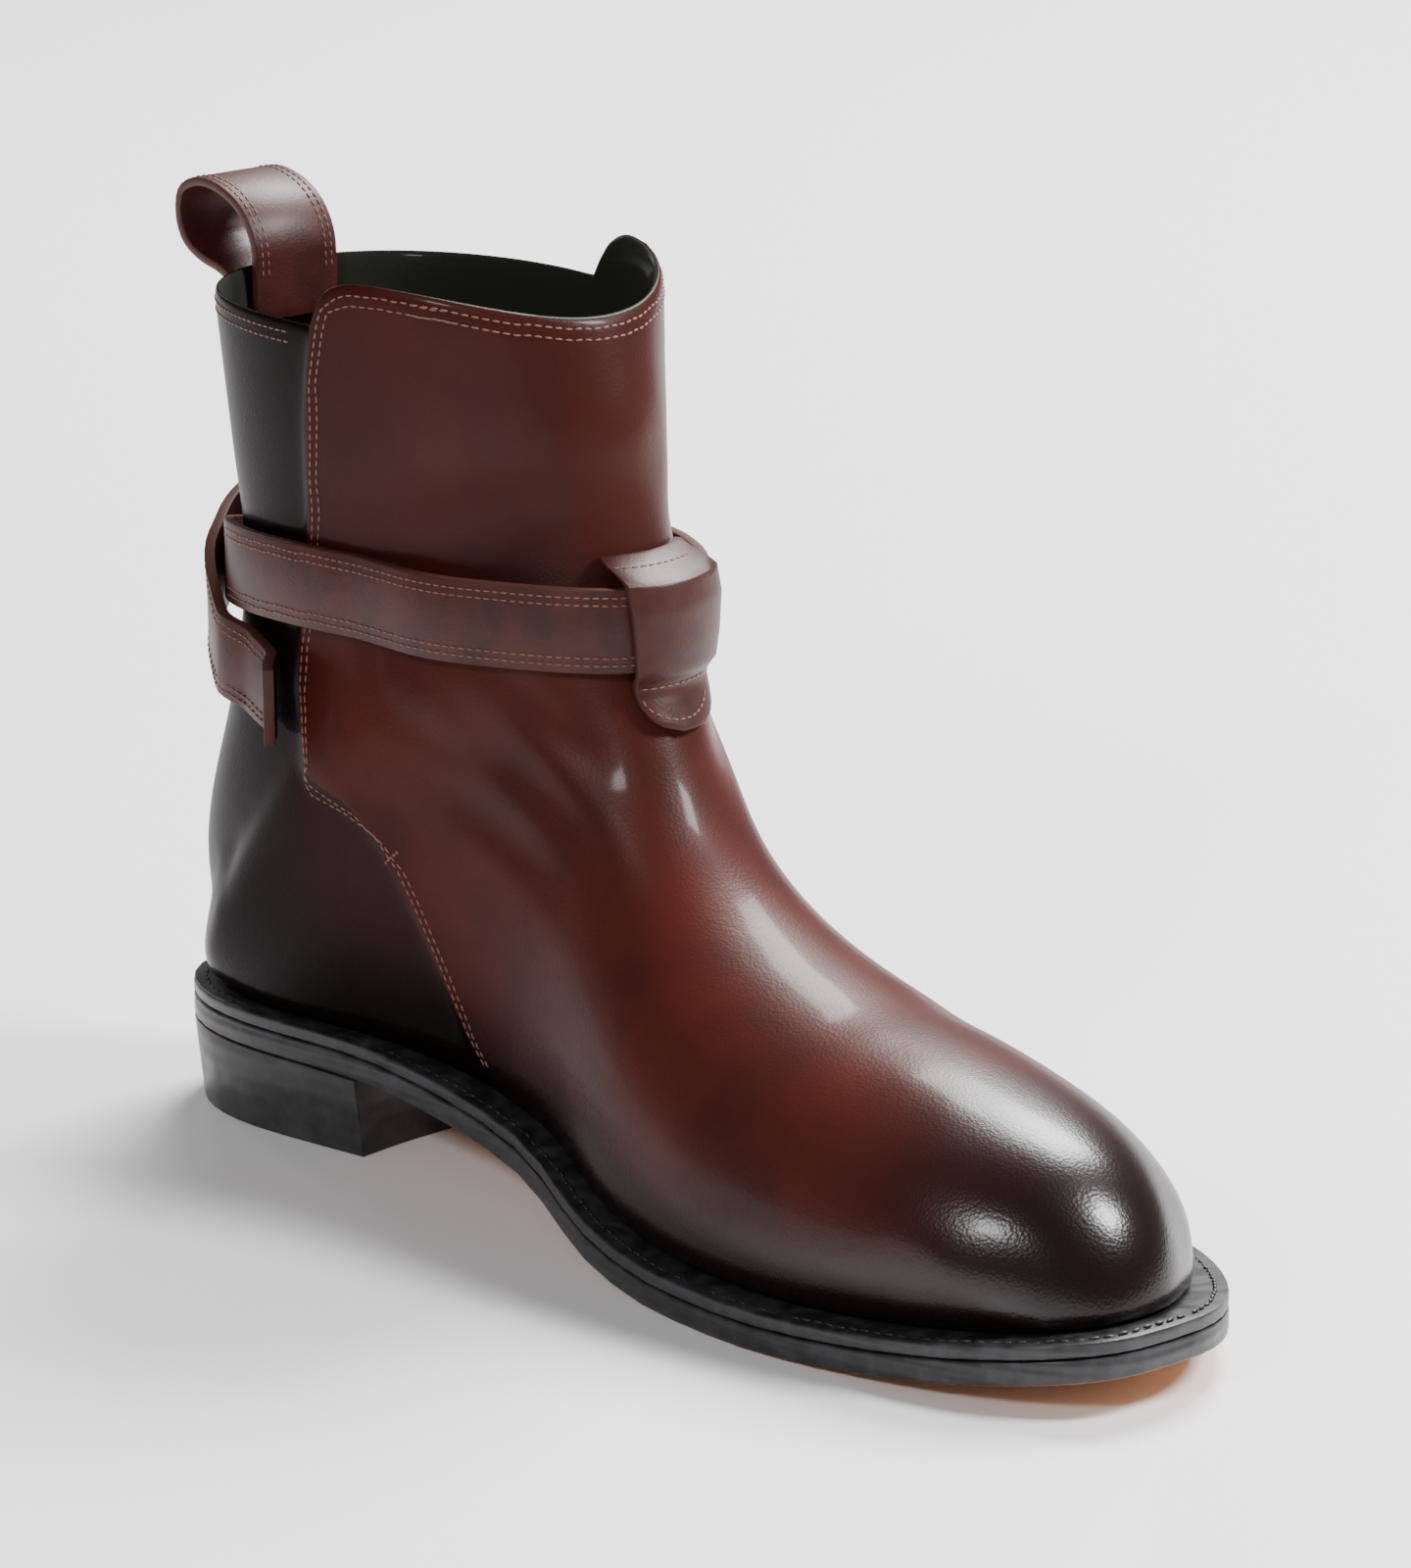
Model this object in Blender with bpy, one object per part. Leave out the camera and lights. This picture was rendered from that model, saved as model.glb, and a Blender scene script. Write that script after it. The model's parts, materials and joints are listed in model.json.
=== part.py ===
"""Jodhpur boot, left shoe, standing empty on its sole.

Metres, +Z up. X runs from heel to toe, Y to the lateral (outer) side.
The origin is the centre of the heel block's resting face.
The upper is one hollow solid: a surface worked out over the last, with a wall of real thickness.
"""
import bpy
import bmesh
import numpy as np

# Sole
SOLE_LENGTH = 0.303
BALL_WIDTH = 0.101
HEEL_BACK = -0.037
TOE_SWING = -0.009
HEEL_CAP = 0.13
HEEL_ROUND = 2.6
TOE_CAP = 0.30
TOE_ROUND = 3.0
HEEL_HEIGHT = 0.0185
TOE_SPRING = 0.0088
OUTSOLE_THICKNESS = 0.0050
WELT_THICKNESS = 0.0030
WELT_WIDTH = 0.0150
HEEL_LENGTH = 0.072
HEEL_TAPER = 0.0015
BREAST_HOLLOW = 0.003
INSOLE_THICKNESS = 0.0025
INSOLE_EASE = 0.0026
FIT_GAP = 0.0003

# Upper
WELT_REACH_HEEL = 0.003
WELT_REACH_TOE = 0.007
INSTEP_HEIGHT = 0.080
SHAFT_DEPTH = 0.112
SHAFT_WIDTH = 0.084
SHAFT_HEIGHT = 0.158
VAMP_WALL = 0.0028
SEAM_STEP = 0.0010
FLAP_RISE = 0.0110
FLAP_ROUND = 0.014
FLAP_DIP = 0.0065
TOP_FLARE = 1.15
COLLAR_BACK = 0.45
QUARTER_REACH = 0.985
FLOOR_CLEAR = 0.0005

# Straps, keeper, pull loop and buckle
STRAP_WIDTH = 0.018
STRAP_THICKNESS = 0.0024
STRAP_CLEAR = 0.58
ANKLE_X = 0.036
ANKLE_HEIGHT = 0.0997
BUCKLE_TURN = 128.0
BUCKLE_SPAN = 14.0
WIRE = 0.0018
FRAME_LENGTH = 0.0165
FRAME_CORNER = 0.0020
FOLD_WIDTH = 0.0145
HINGE_LIFT = 0.0025
LEAF_SHORT = 0.25
PRONG_ROOT = 0.10
PRONG_LIFT = 0.0062
TIP_LENGTH = 0.028
TIP_LEAN = 0.25
KEEPER_WIDTH = 0.025
KEEPER_THICKNESS = 0.0020
KEEPER_TURN = 1.5
KEEPER_BULGE = 0.006
LOOP_WIDTH = 0.022
LOOP_THICKNESS = 0.0020

# The sole's outline: places along its length, half widths as shares of the ball width
OUTLINE = [
    # along, medial, lateral
    (0.00, 0.322, 0.327),
    (0.12, 0.339, 0.351),
    (0.27, 0.284, 0.371),
    (0.42, 0.284, 0.406),
    (0.56, 0.406, 0.495),
    (0.70, 0.439, 0.559),
    (0.85, 0.381, 0.495),
    (1.00, 0.307, 0.327),
]

# The sole's side view: share of the heel height and of the toe spring under it
SIDE_VIEW = [
    # along, heel, toe
    (0.00, 1.03, 0.00),
    (0.14, 1.00, 0.00),
    (0.26, 0.93, 0.00),
    (0.40, 0.60, 0.00),
    (0.52, 0.20, 0.00),
    (0.63, 0.00, 0.00),
    (0.72, 0.00, 0.00),
    (0.86, 0.00, 0.30),
    (1.00, 0.00, 1.00),
]
BALL_FLAT = (0.63, 0.72)

# Sections of the foot, toe to heel. Each runs from the feather line up to the crest.
# low and crest: shares of the sole length. rise: share of the instep height. The rest: shares of
# the ball width. spring: how upright the section leaves the feather line.
FOOT_SECTIONS = [
    # low, crest, rise, side, spring, med_low, med_top, lat_low, lat_top, med_seam, lat_seam
    (0.937, 0.976, 0.06, -0.09, 0.9, 0.24, 0.14, 0.33, 0.19, 0.00, 0.00),
    (0.914, 0.969, 0.19, -0.09, 0.9, 0.29, 0.17, 0.36, 0.20, 0.00, 0.00),
    (0.875, 0.947, 0.33, -0.08, 0.7, 0.34, 0.20, 0.37, 0.22, 0.00, 0.00),
    (0.809, 0.896, 0.47, -0.08, 0.6, 0.40, 0.24, 0.42, 0.27, 0.00, 0.00),
    (0.729, 0.799, 0.58, -0.08, 0.5, 0.45, 0.27, 0.50, 0.31, 0.00, 0.00),
    (0.644, 0.683, 0.67, -0.09, 0.5, 0.48, 0.27, 0.54, 0.31, 0.00, 0.00),
    (0.558, 0.589, 0.77, -0.08, 0.5, 0.45, 0.24, 0.50, 0.26, 0.00, 0.00),
    (0.465, 0.526, 0.89, -0.06, 0.5, 0.39, 0.20, 0.45, 0.23, 0.00, 0.00),
    (0.366, 0.488, 1.06, -0.04, 0.5, 0.355, 0.18, 0.41, 0.22, 0.00, 0.00),
    (0.261, 0.462, 1.24, -0.02, 0.5, 0.38, 0.22, 0.40, 0.25, 0.20, 0.20),
    (0.135, 0.446, 1.43, 0.00, 0.4, 0.45, 0.30, 0.44, 0.30, 0.35, 0.35),
    (0.010, 0.437, 1.61, 0.00, 0.0, 0.54, 0.37, 0.48, 0.36, 0.48, 0.47),
]
SEAM_SECTION = 8

# Sections of the shaft, heel to top. Each is a closed loop from the back to the front.
# back and front: shares of the shaft depth. The heights: shares of the shaft height. The rest: shares
# of the shaft width.
SHAFT_SECTIONS = [
    # back, back_up, front, front_up, med_low, med_top, lat_low, lat_top, med_seam, lat_seam
    (-0.035, 0.155, 1.20, 0.852, 0.585, 0.45, 0.55, 0.48, 0.465, 0.455),
    (0.045, 0.362, 1.18, 0.890, 0.52, 0.49, 0.53, 0.51, 0.453, 0.450),
    (0.125, 0.571, 1.16, 0.936, 0.56, 0.52, 0.55, 0.54, 0.459, 0.460),
    (0.125, 0.774, 1.13, 0.988, 0.63, 0.58, 0.61, 0.60, 0.500, 0.500),
    (0.100, 1.090, 1.10, 1.116, 0.70, 0.67, 0.67, 0.67, 0.585, 0.585),
]

# Straps: turn round the ankle in degrees from the front, lateral side first, and rise over the
# ankle height as a share of it
LONG_STRAP = [
    # turn, rise
    (112, -0.26),
    (130, -0.24),
    (150, -0.19),
    (180, -0.10),
    (208, -0.03),
    (233, -0.01),
    (270, 0.00),
    (315, 0.00),
    (360, 0.00),
    (405, 0.00),
    (450, 0.00),
]
SHORT_STRAP = [
    # turn, rise
    (251, -0.275),
    (229, -0.235),
    (215, -0.20),
    (205, -0.14),
    (195, -0.06),
    (180, 0.01),
    (160, 0.02),
    (150, 0.01),
]

# Turns between which the short strap lies over the long one
OVERLAP_TURNS = (148.0, 228.0)
OVERLAP_EASE = 10.0

# Keeper: height over the strap's middle in strap widths, stand-off (0 sewn, 1 over the strap), width
KEEPER = [
    # up, stand, wide
    (0.78, 0.00, 1.00),
    (0.70, 0.25, 1.00),
    (0.58, 1.00, 1.00),
    (0.25, 1.22, 0.99),
    (-0.20, 1.15, 0.97),
    (-0.54, 1.00, 0.95),
    (-0.64, 0.35, 0.94),
    (-0.72, 0.00, 0.94),
    (-0.88, 0.00, 0.92),
    (-1.04, 0.00, 0.82),
    (-1.14, 0.00, 0.62),
    (-1.20, 0.00, 0.30),
]

# Pull loop in side view, in loop widths: behind its line on the wall, over the collar.
# wall: 0 on the line inside the back wall, 1 on the line outside it
PULL_LOOP = [
    # wall, behind, up
    (0.0, 0.00, -0.55),
    (0.0, 0.00, -0.10),
    (0.0, 0.02, 0.22),
    (0.2, 0.12, 0.50),
    (0.5, 0.32, 0.68),
    (0.7, 0.64, 0.74),
    (1.0, 0.84, 0.62),
    (1.0, 0.90, 0.36),
    (1.0, 0.80, 0.12),
    (1.0, 0.55, -0.02),
    (1.0, 0.24, -0.10),
    (1.0, 0.04, -0.22),
    (1.0, 0.00, -0.42),
]

# How finely the pieces are cut
VAMP_COLUMNS = 22
QUARTER_COLUMNS = 12
ROWS = 22
SOLE_CUTS = 41
INSOLE_CUTS = 37
WELT_CUTS = 39
HEEL_CUTS = 17
HEEL_ACROSS = 9
LONG_CUTS = 96
SHORT_CUTS = 56
BEND_CUTS = 2
KEEPER_CUTS = 27
KEEPER_ACROSS = 9
LOOP_CUTS = 44
RELAX_ROUNDS = 60
RELAX_LIMIT = 0.3
NUDGE = 0.002
FINE_CUTS = 160

COLOURS = {
    # name: red, green, blue, metallic, roughness
    "burgundy_calf": (0.115, 0.028, 0.018, 0.0, 0.30),
    "black_edge": (0.018, 0.017, 0.018, 0.0, 0.45),
    "tan_leather": (0.36, 0.19, 0.09, 0.0, 0.55),
    "polished_metal": (0.75, 0.74, 0.72, 1.0, 0.18),
}


def smooth_curve(places, values, at):
    """Smooth curve through the rows: cubic pieces with matched slopes."""
    places, values, at = (np.asarray(item, float) for item in (places, values, at))
    step = np.diff(places)
    slope = np.diff(values) / step
    lean = np.empty_like(values)
    lean[1:-1] = (slope[:-1] * step[1:] + slope[1:] * step[:-1]) / (step[:-1] + step[1:])
    lean[0] = 1.5 * slope[0] - 0.5 * lean[1]
    lean[-1] = 1.5 * slope[-1] - 0.5 * lean[-2]
    row = np.clip(np.searchsorted(places, at) - 1, 0, len(places) - 2)
    part = (at - places[row]) / step[row]
    square, cube = part**2, part**3
    straight = (2 * cube - 3 * square + 1) * values[row] + (3 * square - 2 * cube) * values[row + 1]
    bent = (cube - 2 * square + part) * lean[row] + (cube - square) * lean[row + 1]
    return straight + step[row] * bent


def ease(part):
    """Smooth step from 0 to 1."""
    part = np.clip(part, 0.0, 1.0)
    return part * part * (3.0 - 2.0 * part)


OUTLINE_ROWS = np.array(OUTLINE)
SIDE_ROWS = np.array(SIDE_VIEW)


def round_end(along):
    """Share of the width that the rounded heel and toe leave, and the heel's share alone."""
    heel = np.clip((HEEL_CAP - along) / HEEL_CAP, 0.0, 1.0)
    toe = np.clip((along - 1.0 + TOE_CAP) / TOE_CAP, 0.0, 1.0)
    heel_share = (1.0 - heel**HEEL_ROUND) ** (1.0 / HEEL_ROUND)
    return heel_share * (1.0 - toe**TOE_ROUND) ** (1.0 / TOE_ROUND), heel_share


def swing(along):
    """Sideways place of the sole's middle line, which leans inwards to the toe."""
    return TOE_SWING * along**2


def outline(along, side, inset_heel=0.0, inset_toe=0.0):
    """Plan place (x, y) on the sole's outline, moved in by the insets. side is -1 medial, 1 lateral."""
    along = np.asarray(along, float)
    column = 1 if side < 0 else 2
    width = smooth_curve(OUTLINE_ROWS[:, 0], OUTLINE_ROWS[:, column] * BALL_WIDTH, along)
    inset = inset_heel + (inset_toe - inset_heel) * ease((along - 0.12) / 0.30)
    share = round_end(along)[0]
    low, high = HEEL_BACK + inset_heel, HEEL_BACK + SOLE_LENGTH - inset_toe
    return low + (high - low) * along, swing(along) + side * (width - inset) * share


def under_height(x):
    """Height of the outsole's underside: heel seat, waist, flat ball and toe spring."""
    along = np.clip((np.asarray(x, float) - HEEL_BACK) / SOLE_LENGTH, 0.0, 1.0)
    rows = SIDE_ROWS[:, 1] * HEEL_HEIGHT + SIDE_ROWS[:, 2] * TOE_SPRING
    height = smooth_curve(SIDE_ROWS[:, 0], rows, along)
    flat = (along >= BALL_FLAT[0]) & (along <= BALL_FLAT[1])
    return np.where(flat, 0.0, np.maximum(height, 0.0))


def outsole_top(x):
    return under_height(x) + OUTSOLE_THICKNESS


def welt_top(x):
    return outsole_top(x) + FIT_GAP + WELT_THICKNESS


def seat(x):
    """Where the upper and the insole sit, just over the welt."""
    return welt_top(x) + FIT_GAP


FOOT = np.array(FOOT_SECTIONS)
SHAFT = np.array(SHAFT_SECTIONS)
STATIONS = np.arange(len(FOOT) + len(SHAFT), dtype=float)
HEEL_STATION = len(FOOT) - 1.0
TOP_STATION = STATIONS[-1]
FEATHER_BACK = HEEL_BACK + WELT_REACH_HEEL
FEATHER_TIP = HEEL_BACK + SOLE_LENGTH - WELT_REACH_TOE
SEAT_HEIGHT = float(seat(HEEL_BACK))


def section_values():
    """The two tables in metres, one row for each station."""
    low_x = HEEL_BACK + FOOT[:, 0] * SOLE_LENGTH
    low_x[-1] = FEATHER_BACK
    crest_x = np.concatenate([HEEL_BACK + FOOT[:, 1] * SOLE_LENGTH, HEEL_BACK + SHAFT[:, 2] * SHAFT_DEPTH])
    crest_z = np.concatenate([seat(low_x) + FOOT[:, 2] * INSTEP_HEIGHT,
                              SEAT_HEIGHT + SHAFT[:, 3] * SHAFT_HEIGHT])
    back_x = np.concatenate([[FEATHER_BACK], HEEL_BACK + SHAFT[:, 0] * SHAFT_DEPTH])
    back_z = np.concatenate([[SEAT_HEIGHT], SEAT_HEIGHT + SHAFT[:, 1] * SHAFT_HEIGHT])
    side = np.concatenate([FOOT[:, 3] * BALL_WIDTH, 0.0 * SHAFT[:, 0]])
    spring = np.concatenate([FOOT[:, 4], 0.0 * SHAFT[:, 0]])
    handles = np.vstack([FOOT[:, 5:9] * BALL_WIDTH, SHAFT[:, 4:8] * SHAFT_WIDTH])
    seams = np.vstack([FOOT[:, 9:11], SHAFT[:, 8:10]])
    return low_x, crest_x, crest_z, back_x, back_z, side, spring, handles, seams


LOW_X, CREST_X, CREST_Z, BACK_X, BACK_Z, CREST_Y, SPRING, HANDLES, SEAMS = section_values()


def feather_width(x, side):
    """Sideways place of the feather line, where the upper meets the welt, and its place along the sole."""
    along = np.clip((x - FEATHER_BACK) / (FEATHER_TIP - FEATHER_BACK), 0.0, 1.0)
    return outline(along, side, WELT_REACH_HEEL, WELT_REACH_TOE)[1], along


def toe_arc(side):
    """The front of the feather line, which the first section follows: y and x in rising y."""
    x = FEATHER_TIP - (FEATHER_TIP - LOW_X[0]) * np.linspace(0.0, 1.0, 160) ** 2
    y = feather_width(x, side)[0]
    order = np.argsort(y)
    return y[order], x[order]


TOE_ARCS = {-1: toe_arc(-1), 1: toe_arc(1)}
TOE_BOW_STATIONS = 4.0


def surface(station, girth, side):
    """A point of the upper's outer surface. girth runs from 0 at the feather or back to 1 at the crest."""
    station, girth = np.broadcast_arrays(np.asarray(station, float), np.asarray(girth, float))
    shaft = station > HEEL_STATION
    foot_station = np.minimum(station, HEEL_STATION)
    shaft_station = np.maximum(station, HEEL_STATION)
    foot_rows, shaft_rows = STATIONS[:len(FOOT)], STATIONS[len(FOOT) - 1:]
    low_x = np.maximum(smooth_curve(foot_rows, LOW_X, foot_station), FEATHER_BACK)
    low_y, along = feather_width(low_x, side)
    middle_y = np.where(shaft, swing(0.0), swing(along))
    low_y = np.where(shaft, middle_y, low_y)
    low_z = np.where(shaft, smooth_curve(shaft_rows, BACK_Z, shaft_station), seat(low_x))
    spring = smooth_curve(STATIONS, SPRING, station) * round_end(np.minimum(along, 0.5))[1]
    upright = np.where(shaft, 0.0, spring)
    low_x = np.where(shaft, smooth_curve(shaft_rows, BACK_X, shaft_station), low_x)
    crest_x = smooth_curve(STATIONS, CREST_X, station)
    crest_y = smooth_curve(STATIONS, CREST_Y, station)
    crest_z = smooth_curve(STATIONS, CREST_Z, station)
    first = 0 if side < 0 else 2
    handle_low = smooth_curve(STATIONS, HANDLES[:, first], station)
    handle_top = smooth_curve(STATIONS, HANDLES[:, first + 1], station)
    pull_0, pull_1 = (1.0 - girth) ** 3, 3.0 * girth * (1.0 - girth) ** 2
    pull_2, pull_3 = 3.0 * girth**2 * (1.0 - girth), girth**3
    y = (pull_0 * low_y + pull_1 * (middle_y + side * handle_low)
         + pull_2 * (crest_y + side * handle_top) + pull_3 * crest_y)
    climb = pull_1 * upright + pull_2 + pull_3
    arc_x = np.interp(y, *TOE_ARCS[side])
    bow = np.clip(1.0 - station / TOE_BOW_STATIONS, 0.0, 1.0) ** 1.5
    reach = climb + ((arc_x - LOW_X[0]) / (FEATHER_TIP - LOW_X[0]) - climb) * bow
    x = low_x + (crest_x - low_x) * reach
    z = low_z + (crest_z - low_z) * climb
    toe = np.clip(1.0 - station, 0.0, 1.0) ** 2
    z = z + (seat(x) - z) * toe
    x = x + (arc_x - x) * toe
    return np.stack([x, y, z], axis=-1)


def outward(station, girth, side, nudge_station=0.02, nudge_girth=0.01):
    """Unit normal of the surface, pointing out of the boot."""
    station_1 = np.minimum(station + nudge_station, TOP_STATION)
    along = surface(station_1, girth, side) - surface(station_1 - nudge_station, girth, side)
    girth_1 = np.minimum(girth + nudge_girth, 1.0)
    across = surface(station, girth_1, side) - surface(station, girth_1 - nudge_girth, side)
    normal = np.cross(along, across) * side
    return normal / np.maximum(np.linalg.norm(normal, axis=-1, keepdims=True), 1e-12)


def feather_starts(side, count_vamp, count_quarter):
    """Where the mesh's columns leave the feather line: (station, girth), toe tip to heel back."""
    fine = np.linspace(0.0, HEEL_STATION, 1200)
    flank = surface(fine, 0.0, side)
    girth = np.linspace(1.0, 0.0, 200)
    front = surface(0.0, girth, side)
    path = np.vstack([front[:-1], flank])
    places = np.vstack([np.stack([0.0 * girth[:-1], girth[:-1]], 1), np.stack([fine, 0.0 * fine], 1)])
    length = np.concatenate([[0.0], np.cumsum(np.linalg.norm(np.diff(path[:, :2], axis=0), axis=1))])
    seam_length = np.interp(SEAM_SECTION, fine, length[len(girth) - 1:])
    vamp = np.linspace(0.0, seam_length, count_vamp + 1)
    quarter = np.linspace(seam_length + SEAM_STEP, length[-1], count_quarter + 1)

    def at(spots):
        return np.stack([np.interp(spots, length, places[:, 0]), np.interp(spots, length, places[:, 1])], 1)
    return at(vamp), at(quarter)


def seam_girth(station, side):
    column = 0 if side < 0 else 1
    rows, shares = STATIONS[SEAM_SECTION:], SEAMS[SEAM_SECTION:, column]
    return np.clip(smooth_curve(rows, shares, np.maximum(station, SEAM_SECTION)), 0.0, 1.0)


def collar_height(flap):
    """Height of the top edge. flap is None on the quarter, else the share from the seam to the front."""
    height = SEAT_HEIGHT + SHAFT_HEIGHT
    if flap is None:
        return height
    half_girth = 0.25 * np.pi * (SHAFT_DEPTH + SHAFT_WIDTH) * (1.0 - SEAMS[-1, 0]) * TOP_FLARE
    run = flap * half_girth
    corner = np.sqrt(1.0 - (1.0 - min(run / FLAP_ROUND, 1.0)) ** 2)
    dip = ease((run - FLAP_ROUND) / (half_girth - FLAP_ROUND))
    return height + FLAP_RISE * corner - FLAP_DIP * dip


def end_station(girth, height, side):
    """Station where a column of this girth reaches a height, found by halving."""
    low, high = HEEL_STATION + 2.0, TOP_STATION
    for _ in range(30):
        middle = 0.5 * (low + high)
        if surface(middle, girth, side)[2] < height:
            low = middle
        else:
            high = middle
    return middle


def column_path(side, start, share, flap, parts):
    """Stations and girths along one column, feather line to top edge.

    share is the column's place at the top: on the quarter from 0 at the back to 1 at the seam,
    on the vamp from 0 at the seam to 1 at the front."""
    begin, begin_girth = start
    top_seam = float(seam_girth(TOP_STATION - COLLAR_BACK, side))
    if flap is None:
        last = end_station(top_seam * share, collar_height(None), side)
        station = begin + (last - begin) * parts
        girth = share * (seam_girth(station, side) - float(seam_girth(begin, side)) * (1.0 - parts) ** 2)
        return station, girth
    finish = top_seam + (1.0 - top_seam) * share
    last = end_station(finish, collar_height(share), side)
    station = begin + (last - begin) * parts
    seam_last = end_station(top_seam, collar_height(0.0), side)
    on_seam = seam_girth(SEAM_SECTION + (seam_last - SEAM_SECTION) * parts, side)
    on_seam = on_seam / seam_girth(seam_last, side)
    progress = (1.0 - share) * on_seam + share * parts
    return station, begin_girth + (finish - begin_girth) * progress


def relax(station, girth, side):
    """Spreads the inner points of a grid evenly over the surface; its border stays."""
    core = (slice(1, -1), slice(1, -1))
    for _ in range(RELAX_ROUNDS):
        point = surface(station, girth, side)
        here = point[core]
        gap = 0.25 * (point[:-2, 1:-1] + point[2:, 1:-1] + point[1:-1, :-2] + point[1:-1, 2:]) - here
        along = (surface(station[core] + NUDGE, girth[core], side) - here) / NUDGE
        across = (here - surface(station[core], girth[core] - NUDGE, side)) / NUDGE
        long, mixed, wide = (along * along).sum(-1), (along * across).sum(-1), (across * across).sum(-1)
        pull, push = (gap * along).sum(-1), (gap * across).sum(-1)
        spread = np.maximum(long * wide - mixed * mixed, 1e-16)
        move_station = np.clip((pull * wide - push * mixed) / spread, -RELAX_LIMIT, RELAX_LIMIT)
        move_girth = np.clip((push * long - pull * mixed) / spread, -RELAX_LIMIT, RELAX_LIMIT)
        station[core] = np.clip(station[core] + 0.5 * move_station, 0.0, TOP_STATION)
        girth[core] = np.clip(girth[core] + 0.5 * move_girth, 0.0, 1.0)
    return station, girth


def upper_panel(side, columns, parts):
    """Stations and girths of one panel's columns, spread evenly."""
    fine = np.linspace(0.0, 1.0, FINE_CUTS)
    paths = []
    for start, share, flap in columns:
        point = surface(*column_path(side, start, share, flap, fine), side)
        length = np.concatenate([[0.0], np.cumsum(np.linalg.norm(np.diff(point, axis=0), axis=1))])
        paths.append(column_path(side, start, share, flap, np.interp(parts * length[-1], length, fine)))
    paths = np.array(paths)
    return relax(paths[:, 0], paths[:, 1], side)


def wall_points(station, girth, side, depth):
    """One column of the wall: its outer points, let in by the depth, and its inner points."""
    point = surface(station, girth, side)
    normal = outward(station, girth, side)
    out = point - normal * depth
    inn = point - normal * VAMP_WALL
    flat = normal[0] * np.array([1.0, 1.0, 0.0])
    flat = flat / np.linalg.norm(flat)
    out[0] = point[0] - flat * depth
    inn[0] = point[0] - flat * VAMP_WALL
    out[0, 2] = seat(out[0, 0])
    inn[0, 2] = seat(inn[0, 0])
    inn[1:, 2] = np.maximum(inn[1:, 2], inn[0, 2] + FLOOR_CLEAR)
    inn[-1, 2] = out[-1, 2]
    return out, inn


def upper_columns(vamp_columns, quarter_columns, rows):
    """The upper's columns round the boot: outer and inner points, medial back first."""
    parts = np.linspace(0.0, 1.0, rows + 1)
    outer, inner = [], []
    for side in (-1, 1):
        vamp, quarter = feather_starts(side, vamp_columns, quarter_columns)
        behind = [(quarter[index], QUARTER_REACH * (1.0 - index / quarter_columns), None)
                  for index in range(quarter_columns, -1, -1)]
        ahead = [(vamp[index], 1.0 - index / vamp_columns, True) for index in range(vamp_columns, -1, -1)]
        sheets = []
        for columns, depth in ((behind, SEAM_STEP), (ahead, 0.0)):
            stations, girths = upper_panel(side, columns, parts)
            sheets += [wall_points(*line, side, depth) for line in zip(stations, girths)]
        if side > 0:
            sheets = sheets[::-1][1:-1]
        outer += [sheet[0] for sheet in sheets]
        inner += [sheet[1] for sheet in sheets]
    return np.array(outer), np.array(inner)


def material(name):
    red, green, blue, metallic, roughness = COLOURS[name]
    made = bpy.data.materials.new(name)
    made.use_nodes = True
    shader = made.node_tree.nodes["Principled BSDF"]
    shader.inputs["Base Color"].default_value = (red, green, blue, 1.0)
    shader.inputs["Metallic"].default_value = metallic
    shader.inputs["Roughness"].default_value = roughness
    return made


def add_object(name, points, faces, finish, sharp=40.0):
    """A named object from points and faces: doubles merged, faces turned out, shaded smooth."""
    mesh = bpy.data.meshes.new(name)
    mesh.from_pydata([tuple(point) for point in points], [], faces)
    work = bmesh.new()
    work.from_mesh(mesh)
    bmesh.ops.remove_doubles(work, verts=work.verts, dist=1e-6)
    bmesh.ops.recalc_face_normals(work, faces=work.faces)
    if work.calc_volume(signed=True) < 0.0:
        bmesh.ops.reverse_faces(work, faces=work.faces)
    work.to_mesh(mesh)
    work.free()
    mesh.shade_smooth()
    mesh.set_sharp_from_angle(angle=np.radians(sharp))
    mesh.materials.append(finish)
    made = bpy.data.objects.new(name, mesh)
    bpy.context.collection.objects.link(made)
    return made


def ring_faces(rings, closed_rings=True, closed_points=True):
    """Faces between rings of points: every ring has the same count."""
    count = len(rings[0])
    faces = []
    for ring in range(len(rings) if closed_rings else len(rings) - 1):
        following = (ring + 1) % len(rings)
        for index in range(count if closed_points else count - 1):
            after = (index + 1) % count
            faces.append((ring * count + index, ring * count + after,
                          following * count + after, following * count + index))
    return faces


def add_shell(name, outer, inner, finish, closed):
    """A wall between two grids of points [column, row]; closed joins the last column to the first."""
    columns, rows = outer.shape[:2]
    points = np.vstack([outer.reshape(-1, 3), inner.reshape(-1, 3)])
    base = columns * rows
    faces = []
    for column in range(columns if closed else columns - 1):
        following = (column + 1) % columns
        here, there = column * rows, following * rows
        for row in range(rows - 1):
            quad = (here + row, there + row, there + row + 1, here + row + 1)
            faces.append(quad)
            faces.append(tuple(base + corner for corner in reversed(quad)))
        faces.append((here, base + here, base + there, there))
        top = rows - 1
        faces.append((here + top, there + top, base + there + top, base + here + top))
    if not closed:
        for edge in (0, (columns - 1) * rows):
            for row in range(rows - 1):
                quad = (edge + row, edge + row + 1, base + edge + row + 1, base + edge + row)
                faces.append(quad if edge == 0 else quad[::-1])
    return add_object(name, points, faces, finish)


def even_along(count, first=0.0, last=1.0):
    """Places along the sole, close together at the rounded ends."""
    return first + (last - first) * 0.5 * (1.0 - np.cos(np.linspace(0.0, np.pi, count)))


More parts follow.
